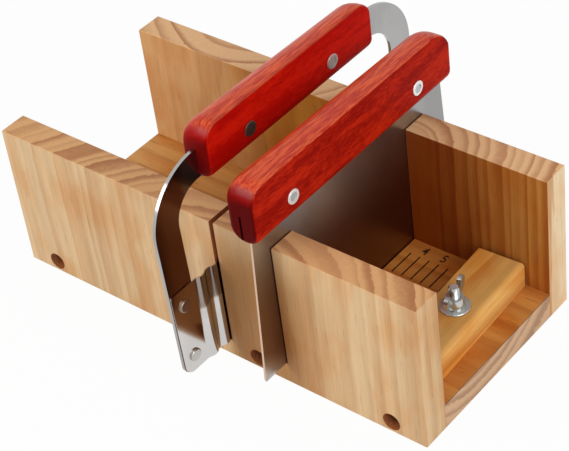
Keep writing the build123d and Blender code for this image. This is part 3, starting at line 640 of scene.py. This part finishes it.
@dataclass(frozen=True)
class RedWoodFinish(Finish):
    """Red stained and lacquered hardwood."""

    name: str = "red_lacquered_wood"
    deep: Colour = paint(144, 14, 4)
    bright: Colour = paint(194, 38, 13)
    # Painted light: faces that look up take the lighter, more orange top colours.
    lit_top_deep: Colour = paint(184, 36, 8)
    top: Colour = paint(224, 86, 34)
    end: Colour = paint(84, 2, 1)
    # Painted light: the end faces grow lighter towards their tops.
    lit_end_top: Colour = paint(140, 6, 3)
    pore: Colour = paint(84, 6, 4)
    slit: Colour = paint(66, 4, 4)
    # Painted highlight in specks along the rounded top front edge.
    edge: Colour = paint(218, 96, 58)
    pore_share: float = 0.22
    edge_highlight_share: float = 0.6
    coat: float = 0.36
    gloss: Span = (0.03, 0.16)
    top_edge: Span = (0.25, 0.85)
    end_edge: Span = (0.45, 0.85)
    lit_end_top_edge: Span = (0.0, 0.5)
    cloud_edge: Span = (0.4, 0.62)
    streak_edge: Span = (0.38, 0.62)
    edge_highlight_span: Span = (0.26, 0.46)
    edge_highlight_speckle: Span = (0.36, 0.6)
    roughness: float = 0.5
    coat_roughness: float = 0.25
    cloud_weights: Span = (0.55, 0.45)
    streak_weights: Span = (0.7, 0.3)
    relief_height: float = 0.0001
    relief_weights: Triple = (1.0, 1.0, -0.5)
    slit_places: Span = (8.35, 40.9)
    slit_edge: Span = (1.4, 1.3)
    slit_facing: Span = (0.9, 0.97)

    def surface(self, bench: Bench) -> dict:
        """The shader's inputs.

        Args:
            bench: The material's bench.

        Returns:
            The inputs by name.
        """
        grain = bench.use(red_grain_group(), {"Place": bench.place})
        facing_x, facing_y, facing_z = bench.split(bench.normal)
        # Painted light on the faces that look up.
        upward = bench.step(facing_z, *self.top_edge)
        cloud = bench.weigh(self.cloud_weights, grain["Blotch"], grain["Speckle"])
        wood = bench.blend(bench.step(cloud, *self.cloud_edge), self.deep, self.bright)
        streak = bench.weigh(self.streak_weights, grain["Streaks"], grain["Speckle"])
        lit_top_wood = bench.blend(bench.step(streak, *self.streak_edge), self.lit_top_deep, self.top)
        wood = bench.blend(upward, wood, lit_top_wood)
        # Painted light on the upper part of the end faces.
        end_wood = bench.blend(bench.step(facing_z, *self.lit_end_top_edge), self.end, self.lit_end_top)
        wood = bench.blend(bench.step(bench.sum("ABSOLUTE", facing_y), *self.end_edge), wood, end_wood)
        wood = bench.blend(bench.times(grain["Pores"], self.pore_share), wood, self.pore)
        # Painted highlight in specks along the rounded top front edge.
        edge_highlit = bench.step(bench.times(facing_x, facing_z), *self.edge_highlight_span)
        highlight_speckle = bench.step(grain["Speckle"], *self.edge_highlight_speckle)
        wood = bench.blend(bench.times(edge_highlit, highlight_speckle, self.edge_highlight_share), wood, self.edge)
        wood = bench.blend(self.slit_mask(bench, facing_x), wood, self.slit)
        relief = bench.weigh(self.relief_weights, grain["Streaks"], grain["Speckle"], grain["Pores"])
        return {
            "Base Color": wood,
            "Roughness": self.roughness,
            "Specular IOR Level": bench.ramp(upward, (0.0, 1.0), self.gloss),
            "Coat Weight": bench.times(upward, self.coat),
            "Coat Roughness": self.coat_roughness,
            "Normal": bench.bump(relief, self.relief_height, Strength=WOOD_RELIEF),
        }

    def slit_mask(self, bench: Bench, facing_x: Socket) -> Socket:
        """The mask of the saw slits' own faces, which are coloured dark.

        Args:
            bench: The material's bench.
            facing_x: The normal's X.

        Returns:
            The mask's socket.
        """
        x = bench.split(bench.place)[0]
        sideways = bench.step(bench.sum("ABSOLUTE", facing_x), *self.slit_facing)
        near = [bench.step(bench.away(x, middle), *self.slit_edge) for middle in self.slit_places]
        return bench.times(sideways, bench.sum("MAXIMUM", *near))


@dataclass(frozen=True)
class PaintedLight:
    """Painted light on bare metal: a reflection, highlight or shade tinted in softly along a line, in the
    piece's own millimetres.
    """

    direction: Triple
    clear_at: float
    full_at: float
    colour: Colour
    share: float = 0.9
    from_y: float = -1000.0
    to_y: float = 1000.0
    facing: int = 0
    facing_edge: Span = (0.2, 0.5)

    def lay(self, bench: Bench, metal: Socket) -> Socket:
        """Paints this reflection, highlight or shade over the metal's colour.

        Args:
            bench: The material's bench.
            metal: The metal's colour.

        Returns:
            The filmed colour.
        """
        dot = bench.add("VectorMath", {0: bench.place, 1: self.direction}, operation="DOT_PRODUCT")
        along = bench.step(dot.outputs["Value"], self.clear_at, self.full_at)
        flat = bench.step(bench.sum("ABSOLUTE", bench.split(bench.normal)[self.facing]), *self.facing_edge)
        here = bench.between(bench.split(bench.place)[1], self.from_y, self.to_y)
        return bench.blend(bench.times(along, self.share, flat, here), metal, self.colour)


@dataclass(frozen=True)
class MetalFinish(Finish):
    """Bare metal, from brushed sheet to bright plate."""

    name: str
    colour: Colour
    stained: Colour
    roughness: float
    polish_play: float = 0.06
    relief_height: float = 0.000004
    painted_lights: tuple[PaintedLight, ...] = ()
    metallic: float = 1.0
    top_metallic: float = 1.0
    stain_edge: Span = (0.35, 0.7)
    wear_span: Span = (0.3, 0.7)
    wear_weights: Span = (0.6, 0.4)
    top_edge: Span = (0.7, 0.95)

    def surface(self, bench: Bench) -> dict:
        """The shader's inputs.

        Args:
            bench: The material's bench.

        Returns:
            The inputs by name.
        """
        marks = bench.use(sheet_marks_group(), {"Place": bench.place})
        metal = bench.blend(bench.step(marks["Smudge"], *self.stain_edge), self.colour, self.stained)
        # Painted reflections, highlights and shade.
        for painted_light in self.painted_lights:
            metal = painted_light.lay(bench, metal)
        wear = bench.weigh(self.wear_weights, marks["Lines"], marks["Smudge"])
        rough = (self.roughness - self.polish_play, self.roughness + self.polish_play)
        brushed = bench.bump(marks["Lines"], self.relief_height)
        upward = bench.step(bench.split(bench.normal)[2], *self.top_edge)
        return {
            "Base Color": metal,
            "Metallic": bench.ramp(upward, (0.0, 1.0), (self.metallic, self.top_metallic)),
            "Roughness": bench.ramp(wear, self.wear_span, rough),
            "Normal": bench.bump(marks["Scratches"], self.relief_height, Normal=brushed),
        }


@dataclass(frozen=True)
class BurntFinish(Finish):
    """Laser-burnt pine of the ruler's figures."""

    name: str = "burnt_figures"
    dark: Colour = paint(38, 12, 5)
    light: Colour = paint(66, 26, 12)
    light_edge: Span = (0.35, 0.7)
    roughness: float = 0.8
    relief_height: float = 0.00004

    def surface(self, bench: Bench) -> dict:
        """The shader's inputs.

        Args:
            bench: The material's bench.

        Returns:
            The inputs by name.
        """
        speckle = bench.noise(bench.place, Noise.CHAR)
        burnt = bench.blend(bench.step(speckle, *self.light_edge), self.dark, self.light)
        relief = bench.bump(speckle, self.relief_height, Strength=WOOD_RELIEF)
        return {"Base Color": burnt, "Roughness": self.roughness, "Normal": relief}


RULER = RulerMarks()
NEAR_WALL_PINE = PineFinish(
    name="pine_near_wall", grain=Grain.UPRIGHT,
    boards=(Board(25.0, -107.0, 7.0, side_bands=0.75),),
    pale=paint(220, 186, 142), band=paint(200, 156, 110),
    end_pale=paint(224, 172, 118), end_band=paint(178, 118, 76),
    inside=paint(226, 176, 112), channel_left_shade=paint(240, 206, 160), deep=paint(200, 140, 70),
    warm=paint(248, 228, 206), burn=paint(130, 56, 18), burn_light=paint(172, 92, 40),
    painted_shade=PaintedShade((4.0, 16.0, 36.0, 82.0)),
)
FAR_WALL_PINE = PineFinish(
    name="pine_far_wall", grain=Grain.UPRIGHT,
    boards=(
        Board(-70.0, 92.0, 9.5, side_bands=0.5),
        Board(43.0, 26.0, 4.9, wander=3.0, starts_at=38.0, side_bands=1.2),
    ),
    pale=paint(244, 216, 176), band=paint(212, 164, 112),
    end_pale=paint(236, 188, 138), end_band=paint(186, 126, 84),
    inside=paint(196, 148, 84), channel_left_shade=paint(236, 206, 168), deep=paint(152, 80, 15),
    warm=paint(246, 226, 204),
    painted_shade=PaintedShade((-74.0, -30.0, 36.0, 40.4), (39.1, 38.9), (200.0, 100.0), paint(202, 172, 100)),
)
BASE_PINE = PineFinish(
    name="pine_base", grain=Grain.ALONG_BOX,
    boards=(Board(-12.0, 62.0, 7.5, wander=4.0),),
    pale=paint(226, 172, 108), band=paint(204, 140, 76),
    end_pale=paint(214, 174, 136), end_band=paint(162, 120, 90),
    inside=paint(244, 222, 180), channel_left_shade=paint(255, 252, 236), deep=paint(252, 220, 166),
    warm=paint(242, 214, 176), duct=paint(120, 60, 20),
    burn=paint(36, 10, 4), burn_light=paint(150, 84, 36),
    duct_share=0.75, ruler=RULER,
    painted_shade=PaintedShade((-80.0, -30.0, 36.0, 40.4), (0.0, 34.0), (200.0, 100.0), paint(232, 210, 150)),
)
STOP_PINE = PineFinish(
    name="pine_stop", grain=Grain.ACROSS_BOX,
    boards=(Board(96.0, -22.0, 8.5, wander=5.0),),
    pale=paint(242, 200, 130), band=paint(222, 162, 92),
    end_pale=paint(212, 156, 88), end_band=paint(166, 108, 56),
    inside=paint(250, 234, 206), channel_left_shade=paint(250, 234, 206), deep=paint(250, 234, 206),
    warm=paint(244, 214, 168), duct=paint(150, 92, 40), duct_share=0.25, streak_levels=(0.86, 1.1),
)
RED_WOOD = RedWoodFinish()
# A lighter copy of the red wood for the rear handle: painted light that lifts it out of the front handle's
# shade, with a dimmer edge highlight.
REAR_RED_WOOD_LIT = RedWoodFinish(
    name="red_lacquered_wood_rear_lit", deep=paint(178, 12, 4), bright=paint(208, 28, 10),
    end=paint(108, 3, 2), lit_end_top=paint(160, 8, 4), edge=paint(132, 62, 38),
)
# Painted reflections and shade on the bare metal: brown where it mirrors the wood, pale towards the blade's
# lower near corner where it mirrors the floor, darker at the blade's far end, and a painted highlight on the
# blade's ends.
BLADE_WOOD_REFLECTION = PaintedLight((0.0, 0.05, 1.0), 84.0, 42.0, paint(128, 92, 64), 0.85)
TIP_FLOOR_REFLECTION = PaintedLight((0.0, -0.5, -1.0), 6.0, 18.0, paint(182, 176, 168), 0.8)
FAR_END_SHADE = PaintedLight((0.0, 1.0, 0.0), 50.0, 56.0, paint(152, 150, 149), 1.0)
EDGE_GLOW = PaintedLight((0.0, 0.0, 1.0), -100.0, -99.0, paint(216, 184, 159), 1.0, facing=1)
FOOT_WOOD_REFLECTION = PaintedLight((0.0, 1.31, 1.0), -71.0, -68.0, paint(142, 106, 74), 0.85, to_y=-66.6)
FLUTE_REFLECTION = PaintedLight((0.0, 0.0, 1.0), 35.5, 37.5, paint(136, 118, 106), 0.8, from_y=-66.6, to_y=-51.5)
RIVET_REFLECTION = PaintedLight((0.0, 0.0, 1.0), 25.0, 35.0, paint(128, 96, 70), 0.8)
LEG_REFLECTION = PaintedLight((0.0, 1.0, 0.0), -56.0, -66.0, paint(112, 66, 38), 0.9)
BLADE_STEEL = MetalFinish(
    "satin_blade_steel", paint(172, 172, 173), paint(158, 158, 159), roughness=0.3, polish_play=0.02,
    relief_height=0.000001, painted_lights=(BLADE_WOOD_REFLECTION, TIP_FLOOR_REFLECTION, EDGE_GLOW, FAR_END_SHADE),
)
BOW_STEEL = MetalFinish(
    "polished_bow_steel", paint(172, 171, 170), paint(160, 159, 158), roughness=0.17, polish_play=0.05,
    painted_lights=(LEG_REFLECTION,),
)
WAVY_STEEL = MetalFinish(
    "polished_wavy_steel", paint(214, 212, 210), paint(200, 197, 194), roughness=0.13, polish_play=0.03,
    relief_height=0.000001, painted_lights=(FOOT_WOOD_REFLECTION, FLUTE_REFLECTION),
)
RIVET_METAL = MetalFinish("rivet_aluminium", paint(236, 234, 230), paint(224, 222, 218), roughness=0.36)
PIN_METAL = MetalFinish("rivet_pin_aluminium", paint(188, 196, 198), paint(170, 178, 180), roughness=0.4)
# A dark copy of the rivet aluminium for the rear handle's near rivet: painted shade.
SHADED_RIVET_METAL = MetalFinish(
    "shaded_rivet_aluminium", paint(92, 86, 74), paint(78, 72, 62), roughness=0.34,
    metallic=0.6, top_metallic=0.6,
)
SOFT_RIVET_METAL = MetalFinish(
    "soft_rivet_aluminium", paint(206, 198, 192), paint(184, 176, 170), roughness=0.32,
    metallic=0.6, top_metallic=0.6,
)
LEG_RIVET_METAL = MetalFinish(
    "leg_rivet_steel", paint(200, 197, 194), paint(184, 180, 176), roughness=0.3, painted_lights=(RIVET_REFLECTION,),
)
SCREW_STEEL = MetalFinish("dull_screw_steel", paint(122, 100, 78), paint(96, 76, 56), roughness=0.45)
ZINC = MetalFinish(
    "bright_zinc", paint(216, 220, 218), paint(168, 172, 170), roughness=0.13, polish_play=0.04,
    metallic=0.88, top_metallic=0.35,
)
BURNT = BurntFinish()


def dress(finish: Finish, *nodes: str) -> None:
    """Gives CAD nodes their material.

    Args:
        finish: The finish.
        *nodes: The nodes' names.
    """
    for node in nodes:
        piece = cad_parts[node]
        if not piece.material_slots:
            piece.data.materials.append(finish.material())
        for slot in piece.material_slots:
            slot.material = finish.material()
        log.info("dressed %s in %s", node, finish.name)


# Mesh work


def put_in_scene(name: str, data: bpy.types.ID) -> bpy.types.Object:
    """Makes an object and puts it in the scene.

    Args:
        name: The object's name.
        data: The mesh, text, lamp or camera that it holds.

    Returns:
        The object.
    """
    item = bpy.data.objects.new(name, data)
    bpy.context.scene.collection.objects.link(item)
    return item


def to_object(name: str, mesh: bmesh.types.BMesh) -> bpy.types.Object:
    """Turns a finished bmesh into an object at the origin.

    Args:
        name: The piece's name.
        mesh: The bmesh, which is freed.

    Returns:
        The object.
    """
    data = bpy.data.meshes.new(name)
    mesh.to_mesh(data)
    mesh.free()
    return put_in_scene(name, data)


def place_piece(piece: bpy.types.Object, body: str, slot: str, finish: Finish, *replaced: str) -> None:
    """Puts a new piece in the assembly.

    Args:
        piece: The piece.
        body: The CAD body that it moves with.
        slot: The record's material slot. Not used.
        finish: Its finish.
        *replaced: The CAD nodes that it stands for.
    """
    piece.data.materials.clear()
    piece.data.materials.append(finish.material())
    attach(piece, body)
    if replaced:
        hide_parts(*replaced)
    log.info("made %s, which rides on %s", piece.name, body)


def made_by(result: dict, kind: type) -> list:
    """The vertices or the faces that an operator has made."""
    return [item for item in result["geom"] if isinstance(item, kind)]


def cut_away(piece: bpy.types.Object, low: Vector, high: Vector) -> None:
    """Cuts a box out of a piece.

    Args:
        piece: The piece.
        low: The box's lowest corner.
        high: The box's highest corner.
    """
    mesh = bmesh.new()
    bmesh.ops.create_cube(mesh, size=1.0)
    bmesh.ops.scale(mesh, vec=high - low, verts=mesh.verts)
    bmesh.ops.translate(mesh, vec=(low + high) / 2, verts=mesh.verts)
    cutter = to_object("cutter", mesh)
    cut = piece.modifiers.new("cut", "BOOLEAN")
    cut.operation = "DIFFERENCE"
    cut.solver = "EXACT"
    cut.object = cutter
    bpy.context.view_layer.update()
    evaluated = piece.evaluated_get(bpy.context.evaluated_depsgraph_get())
    data = bpy.data.meshes.new_from_object(evaluated)
    piece.modifiers.clear()
    piece.data = data
    data.name = piece.name
    bpy.data.objects.remove(cutter)


# Sub-assemblies


@dataclass
class CuttingBox:
    """The pine box: base with its ruler, two walls and their screws. Sizes in millimetres."""

    ruler: RulerMarks = RULER
    figure_pitch: float = 10.0
    figure_bottom: float = 32.0
    figure_height: float = 4.9
    figure_squeeze: float = 0.86
    figure_proud: float = 0.02
    figure_weight: float = 0.01
    figure_resolution: int = 3
    figures: tuple[int, ...] = (1, 2, 4, 5, 6, 7, 8)

    def build(self) -> None:
        """Dresses the box and burns the figures into its base."""
        dress(NEAR_WALL_PINE, "near_wall")
        dress(FAR_WALL_PINE, "far_wall")
        dress(BASE_PINE, "base_board")
        dress(SCREW_STEEL, "near_wall_screws", "far_wall_screws")
        for figure in self.figures:
            self.burn_figure(figure)

    def burn_figure(self, figure: int) -> None:
        """Makes one figure of the ruler, upright across the box.

        Args:
            figure: The number of centimetres.
        """
        name = f"ruler_figure_{figure}"
        text = bpy.data.curves.new(name, "FONT")
        text.body = str(figure)
        text.align_x = "CENTER"
        text.extrude = self.figure_proud * MM
        text.offset = self.figure_weight
        text.resolution_u = self.figure_resolution
        writing = put_in_scene(name + "_text", text)
        bpy.context.view_layer.update()
        data = bpy.data.meshes.new_from_object(writing)
        bpy.data.objects.remove(writing)
        bpy.data.curves.remove(text)
        height = max(vert.co.y for vert in data.vertices)
        size = self.figure_height * MM / height
        data.transform(Matrix.Diagonal((size * self.figure_squeeze, size, 1.0, 1.0)))
        x = self.ruler.zero + figure * self.figure_pitch
        data.transform(Matrix.Translation(Vector((x, self.figure_bottom, self.ruler.top)) * MM))
        data.name = name
        place_piece(put_in_scene(name, data), "box", "pine_inside", BURNT)


@dataclass(frozen=True)
class Handle:
    """A red wooden handle: crisp front top edge, round back and bottom, eased ends. Sizes in millimetres."""

    name: str
    body: str
    finish: RedWoodFinish
    middle: float
    near: float
    far: float
    low: float
    high: float
    end_top_rounds: Span
    back_rounds: Span
    slit_width: float
    slit_top: float
    thickness: float = 15.0
    top_front_round: float = 1.2
    bottom_round: float = 6.0
    end_bottom_round: float = 3.0
    end_front_round: float = 1.5
    end_back_rounds: Span = (4.0, 7.0)
    corner_segments: int = 8
    end_steps: int = 20
    middle_steps: int = 6
    back_limits: Span = (0.62, 0.9)
    corner_limits: Span = (0.36, 0.45)
    cut_overrun: float = 1.0

    def build(self) -> None:
        """Makes the handle and puts it in the assembly."""
        mesh = bmesh.new()
        first, *others = self.places_along()
        ring = [bmesh.ops.create_vert(mesh, co=(x, first, z))["vert"][0] for x, z in self.outline(first)]
        bmesh.ops.contextual_create(mesh, geom=ring)
        mesh.faces.ensure_lookup_table()
        face = mesh.faces[0]
        for y in others:
            numbers = {self.key(vert): number for number, vert in enumerate(ring)}
            result = bmesh.ops.extrude_face_region(mesh, geom=[face])
            face = made_by(result, bmesh.types.BMFace)[0]
            ring = made_by(result, bmesh.types.BMVert)
            ring.sort(key=lambda vert: numbers[self.key(vert)])
            for vert, (x, z) in zip(ring, self.outline(y)):
                vert.co = (x, y, z)
        bmesh.ops.recalc_face_normals(mesh, faces=mesh.faces)
        bmesh.ops.scale(mesh, vec=(MM, MM, MM), verts=mesh.verts)
        piece = to_object(self.name, mesh)
        piece.data.shade_smooth()
        half, over = self.slit_width / 2, self.cut_overrun
        low = Vector((self.middle - half, self.near - over, self.low - over)) * MM
        high = Vector((self.middle + half, self.far + over, self.slit_top)) * MM
        cut_away(piece, low, high)
        piece.data.set_sharp_from_angle(angle=math.radians(SMOOTH_ANGLE))
        place_piece(piece, self.body, "red_wood", self.finish, self.name)

    def places_along(self) -> list[float]:
        """Sets out the handle's sections along Y, closer together at the ends.

        Returns:
            The sections' places.
        """
        near_reach, far_reach = self.end_top_rounds
        steps = [(number / self.end_steps) ** 2 for number in range(self.end_steps + 1)]
        start = [self.near + near_reach * step for step in steps]
        end = [self.far - far_reach * step for step in reversed(steps)]
        span = end[0] - start[-1]
        middle = [start[-1] + span * number / self.middle_steps for number in range(1, self.middle_steps)]
        return start + middle + end

    def outline(self, y: float) -> list[Span]:
        """The handle's section at one place.

        Args:
            y: The place along Y.

        Returns:
            The section's points, as X and Z.
        """
        half = self.thickness / 2
        share = (y - self.near) / (self.far - self.near)
        back = self.middle - half + self.end_inset(self.end_back_rounds, y)
        front = self.middle + half - self.end_inset((self.end_front_round,) * 2, y)
        low = self.low + self.end_inset((self.end_bottom_round,) * 2, y)
        high = self.high - self.end_inset(self.end_top_rounds, y)
        back_round = self.back_rounds[0] + share * (self.back_rounds[1] - self.back_rounds[0])
        corners = [
            (back, low, self.bottom_round, 180, self.corner_limits),
            (front, low, self.bottom_round, 270, self.corner_limits),
            (front, high, self.top_front_round, 0, self.corner_limits),
            (back, high, back_round, 90, self.back_limits),
        ]
        points = []
        for x, z, radius, start, (tall, wide) in corners:
            radius = min(radius, tall * (high - low), wide * (front - back))
            centre_x = x + radius if x == back else x - radius
            centre_z = z + radius if z == low else z - radius
            for number in range(self.corner_segments + 1):
                angle = math.radians(start + 90 * number / self.corner_segments)
                out, up = radius * math.cos(angle), radius * math.sin(angle)
                points.append((centre_x + out, centre_z + up))
        return points

    def end_inset(self, radii: Span, y: float) -> float:
        """How far the near end's and the far end's roundings have come in at a place along Y."""
        return max(self.inset(radii[0], y - self.near), self.inset(radii[1], self.far - y))

    @staticmethod
    def inset(radius: float, left: float) -> float:
        """How far a rounding of this radius has come in, with this much of the length left."""
        reach = min(max(radius - left, 0.0), radius)
        return radius - math.sqrt(radius**2 - reach**2)

    @staticmethod
    def key(vert: bmesh.types.BMVert) -> Span:
        """A vertex's place in its section as a dictionary key."""
        return (round(vert.co.x, 4), round(vert.co.z, 4))


@dataclass
class StraightCutter:
    """The front cutter: flat blade, handle and two-part rivets."""

    handle: Handle = Handle(
        name="straight_handle", body="straight_cutter", finish=RED_WOOD,
        middle=40.9, near=-66.1, far=65.1, low=85.5, high=113.8,
        end_top_rounds=(8.5, 13.0), back_rounds=(6.5, 10.5), slit_width=1.1, slit_top=99.2,
    )

    def build(self) -> None:
        """Dresses the blade and rivets, and makes the handle."""
        dress(BLADE_STEEL, "straight_blade")
        dress(RIVET_METAL, "straight_near_rivet_sleeve", "straight_far_rivet_sleeve")
        dress(PIN_METAL, "straight_near_rivet_pin", "straight_far_rivet_pin")
        self.handle.build()


@dataclass
class WavyCutter:
    """The rear cutter: bow, corrugated blade, handle and rivets."""

    handle: Handle = Handle(
        name="wavy_handle", body="wavy_cutter", finish=REAR_RED_WOOD_LIT,
        middle=8.35, near=-53.1, far=54.7, low=96.8, high=122.6,
        end_top_rounds=(8.0, 9.0), back_rounds=(9.0, 13.5), slit_width=1.6, slit_top=112.1,
    )

    def build(self) -> None:
        """Dresses the bow, blade and rivets, and makes the handle."""
        dress(BOW_STEEL, "wavy_bow")
        dress(WAVY_STEEL, "wavy_blade")
        dress(SHADED_RIVET_METAL, "wavy_near_rivet_sleeve", "wavy_near_rivet_pin")
        dress(SOFT_RIVET_METAL, "wavy_far_rivet_sleeve", "wavy_far_rivet_pin")
        dress(LEG_RIVET_METAL, "near_leg_rivets", "far_leg_rivets")
        self.handle.build()


@dataclass
class StopClamp:
    """The sliding stop with its bolt, washer and wing nut."""

    def build(self) -> None:
        """Dresses the block and its clamp."""
        dress(STOP_PINE, "stop_block")
        dress(ZINC, "stop_bolt", "stop_washer", "wing_nut")


@dataclass(frozen=True)
class Softbox:
    """One square studio lamp, in metres and watts."""

    name: str
    place: Triple
    side: float
    power: float
    aim: Triple = (0.0, 0.0, 0.04)

    def build(self) -> None:
        """Hangs the lamp and turns it to its aim."""
        lamp = bpy.data.lights.new(self.name, "AREA")
        lamp.shape = "SQUARE"
        lamp.size = self.side
        lamp.energy = self.power
        holder = put_in_scene(self.name, lamp)
        holder.location = self.place
        holder.rotation_euler = (Vector(self.aim) - Vector(self.place)).to_track_quat("-Z", "Y").to_euler()
        log.info("hung %s", self.name)


@dataclass
class Studio:
    """The pale floor, the lamps, the white surroundings and the camera."""

    lamps: tuple[Softbox, ...] = (
        Softbox("left_softbox", (-0.55, -1.1, 0.75), 0.9, 9.0),
        Softbox("right_softbox", (1.3, -0.35, 0.7), 0.8, 8.2),
    )
    floor_radius: float = 6.0
    floor_segments: int = 96
    floor_drop: float = 0.0002
    floor_white: float = 0.8
    floor_glow: float = 0.96
    sky: float = 0.5
    camera_place: Triple = (0.4344, -0.4529, 0.5414)
    camera_turn: Triple = (50.552, 6.203, 38.670)
    focal_pixels: float = 1842.27
    sensor: float = 36.0
    nearest_seen: float = 0.01

    def build(self) -> None:
        """Sets up the studio."""
        self.lay_floor()
        self.light_sky()
        for lamp in self.lamps:
            lamp.build()
        self.set_camera()
        bpy.context.scene.view_settings.view_transform = "Standard"

    def seen_or_mirrored(self, bench: Bench) -> Socket:
        """1 for what the camera sees straight, in a reflection or through glass."""
        ray = bench.add("LightPath").outputs
        return bench.sum("MAXIMUM", ray["Is Camera Ray"], ray["Is Glossy Ray"], ray["Is Transmission Ray"])

    def lay_floor(self) -> None:
        """Lays a wide pale floor that keeps the object's shadow."""
        mesh = bmesh.new()
        below = Matrix.Translation((0.0, 0.0, -self.floor_drop))
        sizes = {"segments": self.floor_segments, "radius": self.floor_radius, "matrix": below}
        bmesh.ops.create_circle(mesh, cap_ends=True, **sizes)
        floor = to_object("floor", mesh)
        material, bench = new_material("pale_floor")
        white = (self.floor_white,) * 3 + (1.0,)
        matt = bench.add("BsdfDiffuse", {"Color": white})
        glow = bench.add("Emission", {"Color": paint(255, 255, 255), "Strength": 1.0})
        share = bench.times(self.seen_or_mirrored(bench), self.floor_glow)
        mixed = bench.add("MixShader", {0: share, 1: matt.outputs[0], 2: glow.outputs[0]})
        bench.add("OutputMaterial", {0: mixed.outputs[0]})
        floor.data.materials.append(material)

    def light_sky(self) -> None:
        """Lights the surroundings evenly, and shows them white."""
        world = bpy.data.worlds.new("studio")
        world.use_nodes = True
        bench = Bench(world.node_tree)
        strength = bench.ramp(self.seen_or_mirrored(bench), (0.0, 1.0), (self.sky, 1.0))
        sky = bench.add("Background", {"Color": paint(255, 255, 255), "Strength": strength})
        bench.add("OutputWorld", {0: sky.outputs[0]})
        bpy.context.scene.world = world

    def set_camera(self) -> None:
        """Puts the camera where the photograph was taken from."""
        lens = bpy.data.cameras.new("camera")
        lens.sensor_fit = "HORIZONTAL"
        lens.sensor_width = self.sensor
        lens.lens = self.focal_pixels * self.sensor / PHOTO_WIDTH
        lens.clip_start = self.nearest_seen
        camera = put_in_scene("camera", lens)
        camera.location = self.camera_place
        camera.rotation_euler = [math.radians(angle) for angle in self.camera_turn]
        bpy.context.scene.camera = camera


def main() -> None:
    """Builds the pieces and the studio in order."""
    logging.basicConfig(level=logging.INFO, format="%(message)s")
    for part in (CuttingBox(), StraightCutter(), WavyCutter(), StopClamp()):
        part.build()
    Studio().build()


if __name__ == "__main__":
    main()
